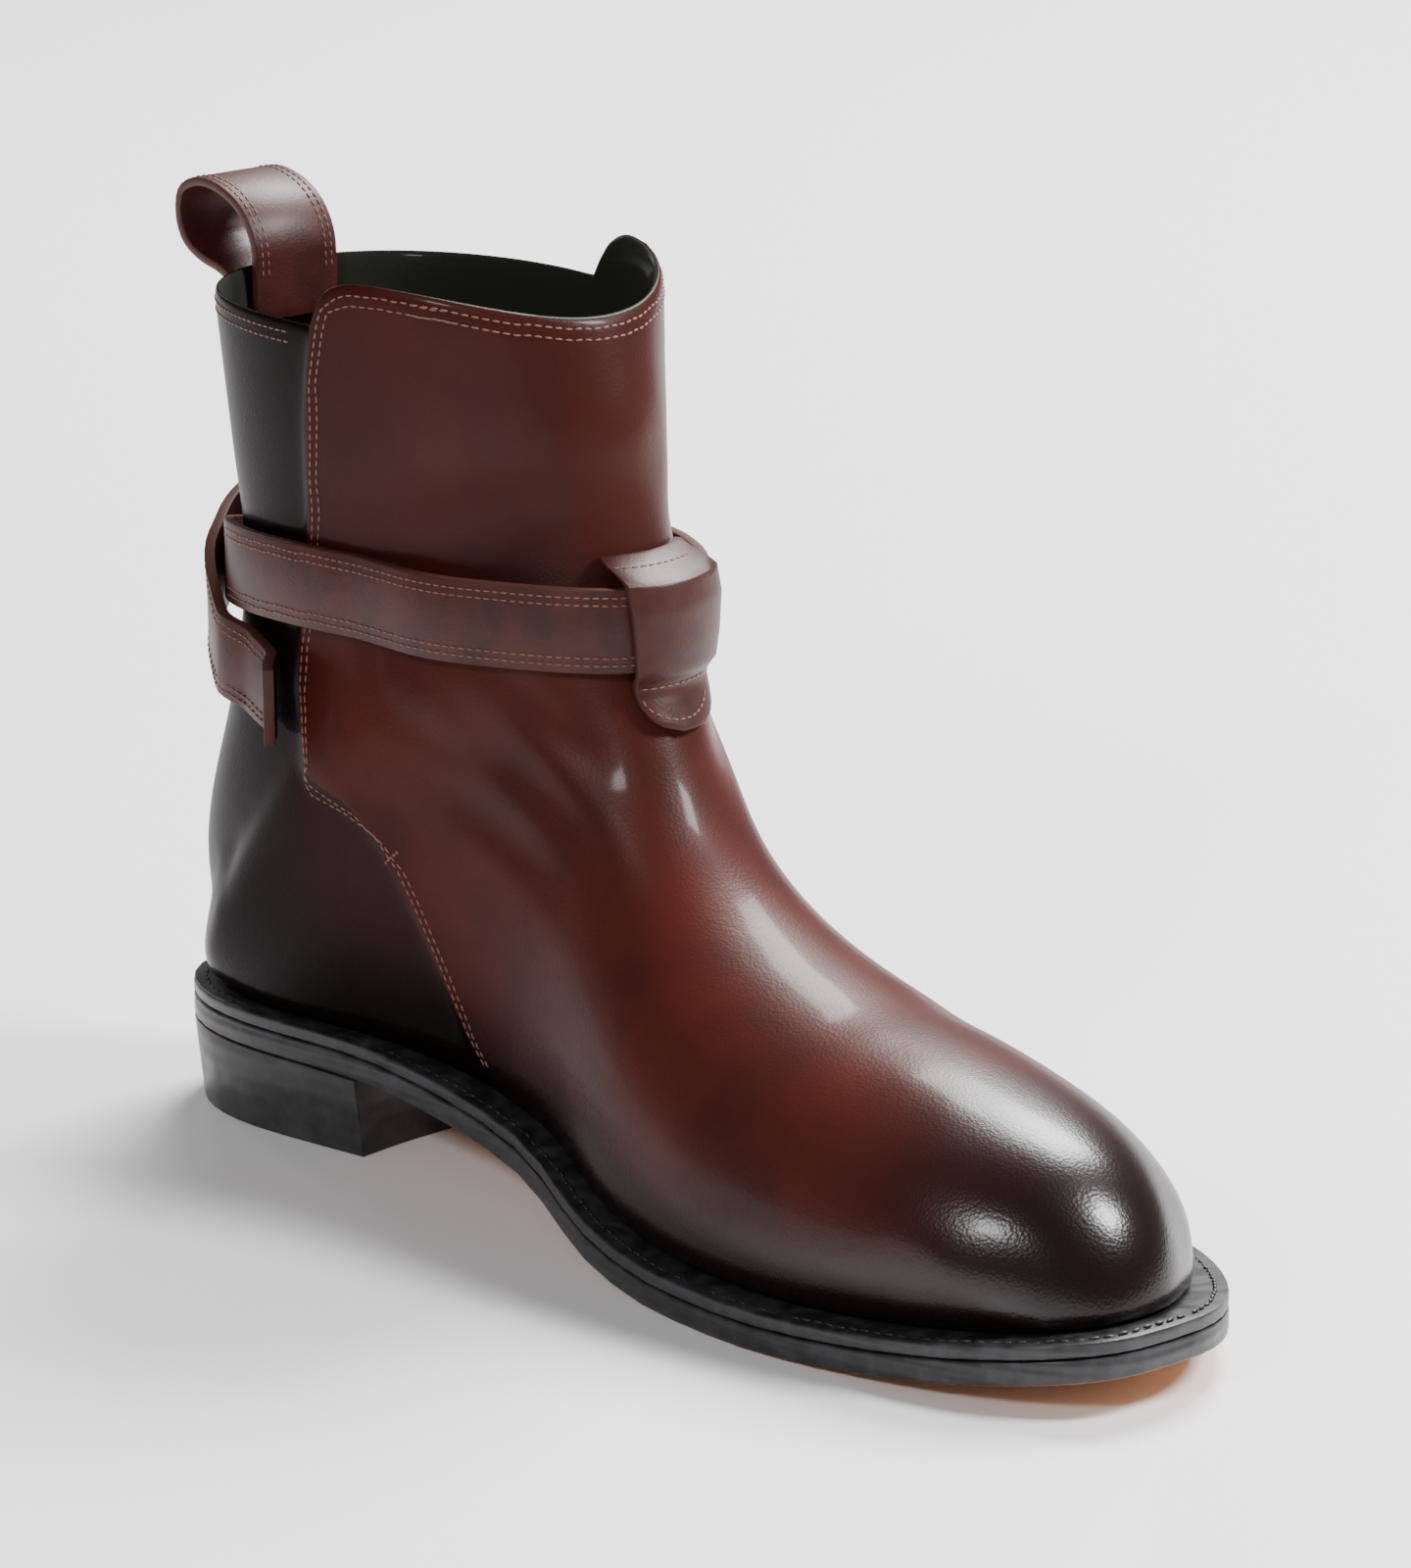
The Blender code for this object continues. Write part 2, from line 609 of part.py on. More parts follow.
def add_slab(name, along, insets, low, high, finish, across=3):
    """A plate inside the sole's outline, between two heights that are functions of x."""
    share = np.linspace(0.0, 1.0, across)[None, :, None]
    medial = np.stack(outline(along, -1, *insets), -1)[:, None, :]
    lateral = np.stack(outline(along, 1, *insets), -1)[:, None, :]
    plan = medial + (lateral - medial) * share
    under = np.concatenate([plan, low(plan[..., :1])], -1)
    over = np.concatenate([plan, high(plan[..., :1])], -1)
    return add_shell(name, over, under, finish, closed=False)


def add_sole(finish_edge, finish_tan):
    add_slab("outsole", even_along(SOLE_CUTS), (0.0, 0.0), under_height, outsole_top, finish_edge)
    inset_heel = WELT_REACH_HEEL + VAMP_WALL + INSOLE_EASE
    inset_toe = WELT_REACH_TOE + VAMP_WALL + INSOLE_EASE
    add_slab("insole", even_along(INSOLE_CUTS), (inset_heel, inset_toe), seat,
             lambda x: seat(x) + INSOLE_THICKNESS, finish_tan)


def add_welt(finish):
    """The flat ring between outsole and upper, open in the middle."""
    along = even_along(WELT_CUTS)
    rings = []
    for inset, height in ((0.0, lambda x: outsole_top(x) + FIT_GAP), (0.0, welt_top),
                          (WELT_WIDTH, welt_top), (WELT_WIDTH, lambda x: outsole_top(x) + FIT_GAP)):
        loop = []
        for side, order in ((-1, slice(None)), (1, slice(-2, 0, -1))):
            x, y = outline(along, side, inset, inset)
            loop.append(np.stack([x, y, height(x)], -1)[order])
        rings.append(np.vstack(loop))
    add_object("welt", np.vstack(rings), ring_faces(rings), finish)


def add_heel(finish):
    """The stacked heel block: the sole's outline behind a slightly hollow breast, tapered downwards."""
    share_end = HEEL_LENGTH / SOLE_LENGTH
    along = share_end * (1.0 - np.cos(np.linspace(0.0, 0.5 * np.pi, HEEL_CUTS)))
    share = np.linspace(0.0, 1.0, HEEL_ACROSS)

    def face(taper, height):
        medial = np.stack(outline(along, -1, taper, taper), -1)[:, None, :]
        lateral = np.stack(outline(along, 1, taper, taper), -1)[:, None, :]
        plan = medial + (lateral - medial) * share[None, :, None]
        hollow = BREAST_HOLLOW * (1.0 - (2.0 * share[None, :] - 1.0) ** 2)
        plan[..., 0] = plan[..., 0] - hollow * (along[:, None] / share_end) ** 6
        return np.concatenate([plan, height(plan[..., :1])], -1)
    over = face(0.0, lambda x: under_height(x) - FIT_GAP)
    under = face(HEEL_TAPER, lambda x: 0.0 * x)
    add_shell("heel_stack", over, under, finish, closed=False)


SLICE_HEIGHTS = np.linspace(0.070, 0.200, 66)
SLICE_TURNS = np.linspace(-180.0, 180.0, 241)


def ankle_radii():
    """Radius of the upper about the ankle's axis, for each height and turn of a table."""
    girth = np.linspace(0.0, 1.0, 90)
    station = np.linspace(SEAM_SECTION - 1.0, TOP_STATION, 400)
    table = []
    walls = {side: surface(station[:, None], girth[None, :], side) for side in (-1, 1)}
    for height in SLICE_HEIGHTS:
        turns, radii = [], []
        for side in (-1, 1):
            wall = walls[side]
            for column in range(len(girth)):
                line = wall[:, column]
                begin = int(np.argmin(line[:, 2]))
                x = np.interp(height, line[begin:, 2], line[begin:, 0])
                y = np.interp(height, line[begin:, 2], line[begin:, 1])
                turns.append(np.degrees(np.arctan2(y, x - ANKLE_X)))
                radii.append(np.hypot(y, x - ANKLE_X))
        turns, radii = np.array(turns), np.array(radii)
        order = np.argsort(turns)
        table.append(np.interp(SLICE_TURNS, turns[order], radii[order], period=360.0))
    return np.array(table)


RADII = ankle_radii()


def ankle_radius(turn, height):
    """Radius of the upper's outside at a turn in degrees and a height, by linear steps of the table."""
    turn = (np.asarray(turn, float) + 180.0) % 360.0 - 180.0
    row = np.interp(height, SLICE_HEIGHTS, np.arange(len(SLICE_HEIGHTS)))
    column = np.interp(turn, SLICE_TURNS, np.arange(len(SLICE_TURNS)))
    row_0 = np.clip(np.floor(row).astype(int), 0, len(SLICE_HEIGHTS) - 2)
    column_0 = np.clip(np.floor(column).astype(int), 0, len(SLICE_TURNS) - 2)
    row_part, column_part = row - row_0, column - column_0
    low = RADII[row_0, column_0] * (1 - column_part) + RADII[row_0, column_0 + 1] * column_part
    high = RADII[row_0 + 1, column_0] * (1 - column_part) + RADII[row_0 + 1, column_0 + 1] * column_part
    return low * (1 - row_part) + high * row_part


STRAP_HEIGHT = SEAT_HEIGHT + ANKLE_HEIGHT
UPRIGHT = np.array([0.0, 0.0, 1.0])


def strap_seat(turn, height):
    """Radius that clears the upper over the strap's whole width."""
    shares = np.linspace(-STRAP_CLEAR, STRAP_CLEAR, 9)
    spans = [ankle_radius(turn, height + share * STRAP_WIDTH) for share in shares]
    return np.max(spans, axis=0) + 2.0 * FIT_GAP


def around(turn, radius, height):
    turn = np.radians(turn)
    return np.stack([ANKLE_X + radius * np.cos(turn), radius * np.sin(turn), height + 0.0 * radius], -1)


def add_strap(name, line, widths, thickness, upright, finish):
    """A flat strap swept along a line of points; upright is the direction its width follows."""
    run = np.gradient(line, axis=0)
    run = run / np.linalg.norm(run, axis=1, keepdims=True)
    wide = upright - run * (upright * run).sum(1, keepdims=True)
    wide = wide / np.linalg.norm(wide, axis=1, keepdims=True)
    out = np.cross(run, wide)
    half = widths[:, None] * 0.5
    rings = []
    for high, far in ((-1, -1), (1, -1), (1, 1), (-1, 1)):
        rings.append(line + wide * half * high + out * thickness * 0.5 * far)
    rings = np.array(rings).transpose(1, 0, 2)
    points = rings.reshape(-1, 3)
    faces = ring_faces(list(rings), closed_rings=False)
    last = len(points) - 4
    faces += [(3, 2, 1, 0), (last, last + 1, last + 2, last + 3)]
    return add_object(name, points, faces, finish)


def buckle_level():
    """Distance of the buckle's frame from the ankle's axis: it lies flat on one strap."""
    near = np.linspace(-BUCKLE_SPAN, BUCKLE_SPAN, 15)
    flat = strap_seat(BUCKLE_TURN + near, STRAP_HEIGHT) * np.cos(np.radians(near))
    return float(flat.max()) + STRAP_THICKNESS + FIT_GAP + 0.5 * WIRE


def buckle_place():
    """Middle of the buckle's frame and its directions along the strap to the back, and out."""
    turn = np.radians(BUCKLE_TURN)
    out = np.array([np.cos(turn), np.sin(turn), 0.0])
    run = np.array([-np.sin(turn), np.cos(turn), 0.0])
    return np.array([ANKLE_X, 0.0, STRAP_HEIGHT]) + out * buckle_level(), run, out


def add_long_strap(finish):
    """From the lateral seam behind the ankle, round the front, through the buckle to its free tip."""
    rows = np.array(LONG_STRAP, float)
    buckle = 360.0 + BUCKLE_TURN
    degree = np.radians(1.0) * float(strap_seat(BUCKLE_TURN, STRAP_HEIGHT))
    half_frame = 0.5 * FRAME_LENGTH / degree
    turn = np.linspace(rows[0, 0], buckle + half_frame + TIP_LENGTH / degree, LONG_CUTS)
    rise = smooth_curve(rows[:, 0], rows[:, 1], np.minimum(turn, rows[-1, 0]))
    height = STRAP_HEIGHT + ANKLE_HEIGHT * rise
    radius = strap_seat(turn, height) + 0.5 * STRAP_THICKNESS
    over_fold = buckle_level() + 0.5 * WIRE + 1.5 * STRAP_THICKNESS + HINGE_LIFT
    climbed = ease((turn - buckle + 0.7 * half_frame) / (1.5 * half_frame))
    over_leaf = radius + 2.0 * (STRAP_THICKNESS + 2.0 * FIT_GAP)
    radius = radius * (1.0 - climbed) + np.maximum(over_leaf, over_fold) * climbed
    tip = np.maximum(turn - buckle - half_frame, 0.0) * degree
    radius = radius + TIP_LEAN * tip
    left = np.minimum((turn[-1] - turn) * degree / (0.5 * STRAP_WIDTH), 1.0)
    widths = STRAP_WIDTH * np.sqrt(np.maximum(1.0 - (1.0 - left) ** 2, 0.06))
    add_strap("strap_long", around(turn, radius, height), widths, STRAP_THICKNESS, UPRIGHT, finish)


def add_short_strap(finish):
    """From the medial seam behind the ankle, over the long strap, folded round the buckle's hinge bar."""
    layer = STRAP_THICKNESS + FIT_GAP
    rows = np.array(SHORT_STRAP, float)
    turn = np.linspace(rows[0, 0], rows[-1, 0], SHORT_CUTS)
    rise = smooth_curve(-rows[:, 0], rows[:, 1], -turn)
    height = STRAP_HEIGHT + ANKLE_HEIGHT * rise
    over = ease((OVERLAP_TURNS[1] - turn) / OVERLAP_EASE) * ease((turn - OVERLAP_TURNS[0]) / OVERLAP_EASE)
    long_rows = np.array(LONG_STRAP, float)
    long_rise = smooth_curve(long_rows[:, 0], long_rows[:, 1], turn)
    bare = strap_seat(turn, height)
    crossed = strap_seat(turn, STRAP_HEIGHT + ANKLE_HEIGHT * long_rise)
    lift = over * (layer + FIT_GAP + np.maximum(crossed - bare, 0.0))
    flat = around(turn, bare + 0.5 * STRAP_THICKNESS + lift, height)
    centre, run, out = buckle_place()
    bar = centre + run * 0.5 * (FRAME_LENGTH - WIRE)
    bend = 0.5 * (WIRE + STRAP_THICKNESS) + FIT_GAP
    under = bar - out * bend
    ahead = [flat[-1] + (under - flat[-1]) * part for part in (0.35, 0.7, 1.0)]
    fold = np.radians(np.arange(20, 161, 20))
    wrap = [bar - bend * (run * np.sin(angle) + out * np.cos(angle)) for angle in fold]
    leg = (under - flat[-1]) / np.linalg.norm(under - flat[-1])
    square = out - leg * float(out @ leg)
    square = square / np.linalg.norm(square)
    leaf_end = flat[-1] + (under - flat[-1]) * LEAF_SHORT + square * (layer + FIT_GAP)
    top = bar + out * bend
    between = [top + (leaf_end - top) * part + out * FIT_GAP for part in (0.35, 0.7)]
    leaf = [top, *between, leaf_end]
    line = np.vstack([flat, ahead, wrap, leaf])
    bend_rows = slice(len(flat) - BEND_CUTS, len(flat) + 2)
    for _ in range(BEND_CUTS):
        line[bend_rows] = 0.5 * line[bend_rows] + 0.25 * (line[len(flat) - BEND_CUTS - 1:len(flat) + 1]
                                                          + line[len(flat) - BEND_CUTS + 1:len(flat) + 3])
    widths = np.full(len(line), STRAP_WIDTH)
    widths[len(flat):] = FOLD_WIDTH
    widths[len(flat) - 1] = 0.5 * (FOLD_WIDTH + STRAP_WIDTH)
    add_strap("strap_short", line, widths, STRAP_THICKNESS, UPRIGHT, finish)


def add_wire(name, points, depth, closed, finish, resolution=2):
    """A bent metal wire: a curve with a round bevel."""
    curve = bpy.data.curves.new(name, "CURVE")
    curve.dimensions = "3D"
    curve.bevel_depth = depth
    curve.bevel_resolution = resolution
    curve.use_fill_caps = True
    spline = curve.splines.new("POLY")
    spline.points.add(len(points) - 1)
    for point, place in zip(spline.points, points):
        point.co = (*place, 1.0)
    spline.use_cyclic_u = closed
    curve.materials.append(finish)
    made = bpy.data.objects.new(name, curve)
    bpy.context.collection.objects.link(made)
    return made


def add_buckle(finish):
    """Rounded rectangular frame over the strap, and its prong lying on the front bar."""
    centre, run, out = buckle_place()
    half_run = 0.5 * (FRAME_LENGTH - WIRE)
    half_up = 0.5 * (STRAP_WIDTH + WIRE) + FIT_GAP
    loop = []
    for quarter, (sign_run, sign_up) in enumerate(((1, 1), (-1, 1), (-1, -1), (1, -1))):
        for angle in np.radians(np.linspace(0, 90, 5) + 90.0 * quarter):
            along = sign_run * (half_run - FRAME_CORNER) + FRAME_CORNER * np.cos(angle)
            high = sign_up * (half_up - FRAME_CORNER) + FRAME_CORNER * np.sin(angle)
            loop.append(centre + run * along + UPRIGHT * high)
    add_wire("buckle_frame", loop, 0.5 * WIRE, True, finish)
    rest = centre - run * half_run + out * (WIRE + FIT_GAP)
    end = rest - run * 1.2 * WIRE
    root = centre - run * PRONG_ROOT * half_run + out * PRONG_LIFT
    prong = [root, 0.5 * (root + rest) + out * FIT_GAP, rest, end]
    add_wire("buckle_prong", prong, 0.5 * WIRE, False, finish)


def add_keeper(finish):
    """The leather keeper on the front: sewn above and below, standing over the strap between."""
    rows = np.array(KEEPER, float)
    up = np.linspace(rows[0, 0], rows[-1, 0], KEEPER_CUTS)
    stand = np.interp(-up, -rows[:, 0], rows[:, 1])
    wide = np.interp(-up, -rows[:, 0], rows[:, 2])
    height = STRAP_HEIGHT + up * STRAP_WIDTH
    cover = STRAP_THICKNESS + 2.0 * FIT_GAP
    outer, inner = [], []
    for share in np.linspace(-0.5, 0.5, KEEPER_ACROSS):
        radius = ankle_radius(KEEPER_TURN, height)
        turn = KEEPER_TURN + np.degrees(share * KEEPER_WIDTH * wide / radius)
        skin = ankle_radius(turn, height) + FIT_GAP
        over = strap_seat(turn, STRAP_HEIGHT + 0.0 * height) + cover
        weight = np.clip(stand, 0.0, 1.0)
        radius = np.maximum(skin, skin * (1.0 - weight) + over * weight)
        radius = radius + np.maximum(stand - 1.0, 0.0) * KEEPER_BULGE
        inner.append(around(turn, radius, height))
        outer.append(around(turn, radius + KEEPER_THICKNESS, height))
    add_shell("keeper_loop", np.array(outer), np.array(inner), finish, closed=False)


def add_pull_loop(finish):
    """The pull loop: from inside the collar up, back and down to the outside of the back seam."""
    rows = np.array(PULL_LOOP, float)
    girth = np.linspace(0.0, 0.3, 61)
    back = surface(end_station(0.0, collar_height(None), -1), girth, -1)
    edge_x = np.interp(0.5 * LOOP_WIDTH, -back[:, 1], back[:, 0])
    inside = edge_x + VAMP_WALL + 5.0 * FIT_GAP + 0.5 * LOOP_THICKNESS
    outside = back[0, 0] + SEAM_STEP - 2.0 * FIT_GAP - 0.5 * LOOP_THICKNESS
    place = np.linspace(0.0, len(rows) - 1.0, LOOP_CUTS)
    index = np.arange(len(rows))
    wall, behind, up = (smooth_curve(index, rows[:, column], place) for column in range(3))
    x = inside + (outside - inside) * wall - LOOP_WIDTH * behind
    z = collar_height(None) + LOOP_WIDTH * up
    line = np.stack([x, 0.0 * x, z], -1)
    across = np.array([0.0, 1.0, 0.0])
    add_strap("pull_loop", line, np.full(len(line), LOOP_WIDTH), LOOP_THICKNESS, across, finish)


def build():
    for leftover in list(bpy.data.objects):
        bpy.data.objects.remove(leftover, do_unlink=True)
    leather = material("burgundy_calf")
    edge = material("black_edge")
    tan = material("tan_leather")
    metal = material("polished_metal")
    add_sole(edge, tan)
    add_welt(edge)
    add_heel(edge)
    outer, inner = upper_columns(VAMP_COLUMNS, QUARTER_COLUMNS, ROWS)
    add_shell("upper", outer, inner, leather, closed=True)
    add_long_strap(leather)
    add_short_strap(leather)
    add_buckle(metal)
    add_keeper(leather)
    add_pull_loop(leather)


build()
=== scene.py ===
# %% [markdown]
# # A jodhpur boot, left shoe
# A jodhpur boot is an ankle boot cut from few large pieces of smooth calf. The front piece runs from the
# toe up to the top of the shaft and laps over a darker rear quarter. A strap crosses behind the ankle,
# goes through a keeper on the front and ends in a buckle on the outer side.
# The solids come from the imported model. Each is copied, made finer and given its real finish here.

# %% Start
import json
import math
import bpy
import numpy as np
from mathutils import Matrix, Vector
from mathutils.bvhtree import BVHTree

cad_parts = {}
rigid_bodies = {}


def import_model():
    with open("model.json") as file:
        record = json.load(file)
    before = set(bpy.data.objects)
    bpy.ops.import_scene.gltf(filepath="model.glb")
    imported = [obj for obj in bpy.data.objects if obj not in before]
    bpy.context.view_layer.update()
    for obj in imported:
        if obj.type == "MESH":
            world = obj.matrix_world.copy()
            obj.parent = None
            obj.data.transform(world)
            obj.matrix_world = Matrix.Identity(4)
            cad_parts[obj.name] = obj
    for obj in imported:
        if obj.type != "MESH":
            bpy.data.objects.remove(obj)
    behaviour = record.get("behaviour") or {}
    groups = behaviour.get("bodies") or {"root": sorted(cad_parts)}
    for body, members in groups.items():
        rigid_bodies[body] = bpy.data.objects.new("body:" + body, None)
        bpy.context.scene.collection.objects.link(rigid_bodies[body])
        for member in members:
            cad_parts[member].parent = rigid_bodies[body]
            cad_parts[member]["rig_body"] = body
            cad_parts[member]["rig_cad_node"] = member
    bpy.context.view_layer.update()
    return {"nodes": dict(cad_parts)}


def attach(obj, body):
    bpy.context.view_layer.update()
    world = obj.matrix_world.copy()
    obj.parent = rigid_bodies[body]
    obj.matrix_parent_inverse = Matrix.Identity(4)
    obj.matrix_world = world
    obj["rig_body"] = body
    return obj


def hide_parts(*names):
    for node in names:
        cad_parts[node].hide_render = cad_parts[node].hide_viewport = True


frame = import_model()
MM = 0.001

# %% [markdown]
# ## Copies of the solids
# A piece could be modelled anew, but its outline would then drift from the solid's. So it starts as a copy.
# The copy's corners are merged and its triangles joined to quads, so that modifiers and bevels run cleanly
# along the leather's edges.

# %% Copies of the solids
MERGE = 0.01 * MM
QUAD_ANGLE = math.radians(60)


def select(piece):
    bpy.ops.object.select_all(action="DESELECT")
    piece.select_set(True)
    bpy.context.view_layer.objects.active = piece


def copy_node(solid, name):
    select(frame["nodes"][solid])
    bpy.ops.object.duplicate()
    piece = bpy.context.object
    piece.parent = None
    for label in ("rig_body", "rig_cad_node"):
        if label in piece:
            del piece[label]
    piece.name = name
    bpy.ops.object.mode_set(mode="EDIT")
    bpy.ops.mesh.select_all(action="SELECT")
    bpy.ops.mesh.remove_doubles(threshold=MERGE)
    bpy.ops.mesh.tris_convert_to_quads(face_threshold=QUAD_ANGLE, shape_threshold=QUAD_ANGLE)
    bpy.ops.object.mode_set(mode="OBJECT")
    piece.data.materials.clear()
    return piece


print("solids", sorted(frame["nodes"]))

# %% [markdown]
# Leather's cut edges are sanded, so no corner is truly sharp. A narrow bevel on every sharp edge does that,
# and each corner then catches a thin line of light. The rest is shaded smooth.

# %% Edges and modifiers
SHARP = math.radians(50)
SMOOTH_UP_TO = math.radians(35)


def apply_modifier(piece, kind, **settings):
    select(piece)
    modifier = piece.modifiers.new(kind.lower(), kind)
    for name, value in settings.items():
        setattr(modifier, name, value)
    bpy.ops.object.modifier_apply(modifier=modifier.name)


def soften(piece, width):
    apply_modifier(piece, "BEVEL", width=width, segments=2, limit_method="ANGLE",
                   angle_limit=SHARP, use_clamp_overlap=True)
    select(piece)
    bpy.ops.object.shade_smooth_by_angle(angle=SMOOTH_UP_TO)


def settle(piece, slot, *nodes):
    """The piece rides on the boot and stands for the nodes. The slot is not used."""
    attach(piece, "root")
    if nodes:
        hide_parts(*nodes)
    print(piece.name, len(piece.data.polygons), "faces")


# %% [markdown]
# Some finishes change over a piece, such as wax that was brushed darker at the toe. The share of each is
# worked out in code and kept as a number at every vertex, where the material reads it.

# %% Numbers at the vertices


def vertex_rows(piece, kind):
    """Places ("co") or outward directions ("normal") of the vertices, one row each."""
    flat = np.empty(len(piece.data.vertices) * 3)
    piece.data.vertices.foreach_get(kind, flat)
    return flat.reshape(-1, 3)


def number_layer(piece, name, values):
    layer = piece.data.attributes.new(name, "FLOAT", "POINT")
    layer.data.foreach_set("value", np.asarray(values, np.float32))


def step(values, low, high):
    """0 below low, 1 above high, and smooth between."""
    share = np.clip((values - low) / (high - low), 0.0, 1.0)
    return share * share * (3.0 - 2.0 * share)


print("step from 0 to 1", step(np.array([0.0, 0.5, 1.0]), 0.0, 1.0))

# %% [markdown]
# ## Finishes
# Colours are written as they look on screen and turned to linear light. Each finish is built from nodes
# that read the object's own coordinates, so every scale is a real size in metres.

# %% Colour and nodes
PLACE, NUMBER = "ShaderNodeTexCoord", "ShaderNodeAttribute"
NOISE, CELLS, WAVE = "ShaderNodeTexNoise", "ShaderNodeTexVoronoi", "ShaderNodeTexWave"
MIX, RANGE, MATH, BUMP = "ShaderNodeMix", "ShaderNodeMapRange", "ShaderNodeMath", "ShaderNodeBump"
COLOURS, SMOOTHLY, ADD = {"data_type": "RGBA"}, {"interpolation_type": "SMOOTHSTEP"}, {"operation": "ADD"}
SHARE, FIRST, SECOND, MIXED = 0, 6, 7, 2
SOFT = {"Detail": 3.0, "Roughness": 0.55}
FINE, FINEST = {**SOFT, "Detail": 5.0}, {**SOFT, "Detail": 6.0}


def linear(code):
    shares = [int(code[place:place + 2], 16) / 255 for place in (1, 3, 5)]
    light = [share / 12.92 if share <= 0.04045 else ((share + 0.055) / 1.055) ** 2.4 for share in shares]
    return (*light, 1.0)


def node(tree, kind, settings, inputs):
    """Adds a node and gives its outputs. An input is a value, or an output to link."""
    made = tree.nodes.new(kind)
    for name, value in settings.items():
        setattr(made, name, value)
    for socket, value in inputs.items():
        if isinstance(value, bpy.types.NodeSocket):
            tree.links.new(value, made.inputs[socket])
        else:
            made.inputs[socket].default_value = value
    return made.outputs


def new_finish(name, **values):
    made = bpy.data.materials.new(name)
    made.use_nodes = True
    shader = made.node_tree.nodes["Principled BSDF"]
    for label, value in values.items():
        shader.inputs[label.replace("_", " ")].default_value = value
    return made, made.node_tree, shader


def feed(tree, shader, sources):
    for label, source in sources.items():
        tree.links.new(source, shader.inputs[label])


print("middle grey in linear light", [round(share, 3) for share in linear("#808080")])

# %% [markdown]
# ## Calf
# Smooth calf has pores a few tenths of a millimetre apart, under a thin film of wax. They are drawn
# coarser than that, so that they show. They break up the highlights, which otherwise look like plastic.

# %% Grain
GRAIN_SIZE = 0.7 * MM
GRAIN_DEPTH = 0.035 * MM
UNEVEN_SIZE = 6 * GRAIN_SIZE


def calf_grain(tree, place):
    pores = node(tree, CELLS, {}, {"Vector": place, "Scale": 1 / GRAIN_SIZE})["Distance"]
    uneven = node(tree, NOISE, {}, {"Vector": place, "Scale": 1 / UNEVEN_SIZE, **SOFT})["Fac"]
    height = node(tree, MATH, ADD, {0: pores, 1: uneven})[0]
    return node(tree, BUMP, {}, {"Distance": GRAIN_DEPTH, "Height": height})["Normal"]


print("grain in mm", GRAIN_SIZE / MM, "deep", GRAIN_DEPTH / MM)

# %% [markdown]
# The calf is dyed through, then waxed and brushed darker by hand at the toe, along the lower edge and over
# the whole rear quarter. The brushing builds up a harder shine there. The middle of the front piece keeps
# its warm red brown and a satin look. The lining is olive grey leather without wax.

# %% Calf of the upper
CALF_WARM = linear("#441a14")
CALF_DEEP = linear("#2c110e")
CALF_BURNT = linear("#0c0505")
QUARTER_WARM = linear("#2b100c")
QUARTER_DARK = linear("#0b0605")
LINING = linear("#23241f")
CLOUD_SIZE = 26 * MM
SATIN, SATIN_SPREAD, WAX_GLOSS, LINING_DULL = 0.37, 0.10, -0.17, 0.3
SCALED = {"operation": "MULTIPLY_ADD"}


def upper_finish():
    made, tree, shader = new_finish("calf waxed and burnished", Coat_Weight=0.08, Coat_Roughness=0.12)
    place = node(tree, PLACE, {}, {})["Object"]
    cloud = node(tree, NOISE, {}, {"Vector": place, "Scale": 1 / CLOUD_SIZE, **SOFT})["Fac"]
    number = {name: node(tree, NUMBER, {"attribute_name": name}, {})["Fac"]
              for name in ("ahead", "deep", "burnt", "shine", "dark", "lining", "rim")}
    patchy = node(tree, RANGE, SMOOTHLY,
                  {"Value": cloud, "From Min": 0.25, "From Max": 0.8, "To Max": 0.8})[0]
    in_front = node(tree, RANGE, SMOOTHLY, {"Value": number["ahead"], "From Min": -0.2, "From Max": 0.2})[0]
    vamp = node(tree, MIX, COLOURS, {SHARE: patchy, FIRST: CALF_WARM, SECOND: CALF_DEEP})[MIXED]
    vamp = node(tree, MIX, COLOURS, {SHARE: number["deep"], FIRST: vamp, SECOND: CALF_DEEP})[MIXED]
    vamp = node(tree, MIX, COLOURS, {SHARE: number["burnt"], FIRST: vamp, SECOND: CALF_BURNT})[MIXED]
    rear = node(tree, MIX, COLOURS,
                {SHARE: number["dark"], FIRST: QUARTER_WARM, SECOND: QUARTER_DARK})[MIXED]
    colour = node(tree, MIX, COLOURS, {SHARE: in_front, FIRST: rear, SECOND: vamp})[MIXED]
    colour = node(tree, MIX, COLOURS, {SHARE: number["lining"], FIRST: colour, SECOND: LINING})[MIXED]
    colour = node(tree, MIX, COLOURS, {SHARE: number["rim"], FIRST: colour, SECOND: CALF_BURNT})[MIXED]
    rough = node(tree, MATH, SCALED, {0: cloud, 1: SATIN_SPREAD, 2: SATIN})[0]
    rough = node(tree, MATH, SCALED, {0: number["burnt"], 1: WAX_GLOSS, 2: rough})[0]
    rough = node(tree, MATH, {**SCALED, "use_clamp": True},
                 {0: number["lining"], 1: LINING_DULL, 2: rough})[0]
    feed(tree, shader, {"Base Color": colour, "Roughness": rough, "Specular IOR Level": number["shine"],
                        "Normal": calf_grain(tree, place)})
    return made


calf = upper_finish()
print("finish", calf.name)

# %% [markdown]
# Strap leather is cut from a side and waxed on its face only, so its raw edge is duller and browner. The
# two are told apart by a number at each vertex. The keeper is one soft leather, folded, with a turned edge.

# %% Calf of the straps
STRAP_CLOUD = 9 * MM
STRAP_LOOK = {"Roughness": 0.5, "Coat_Weight": 0.06, "Coat_Roughness": 0.3, "Specular_IOR_Level": 0.22}


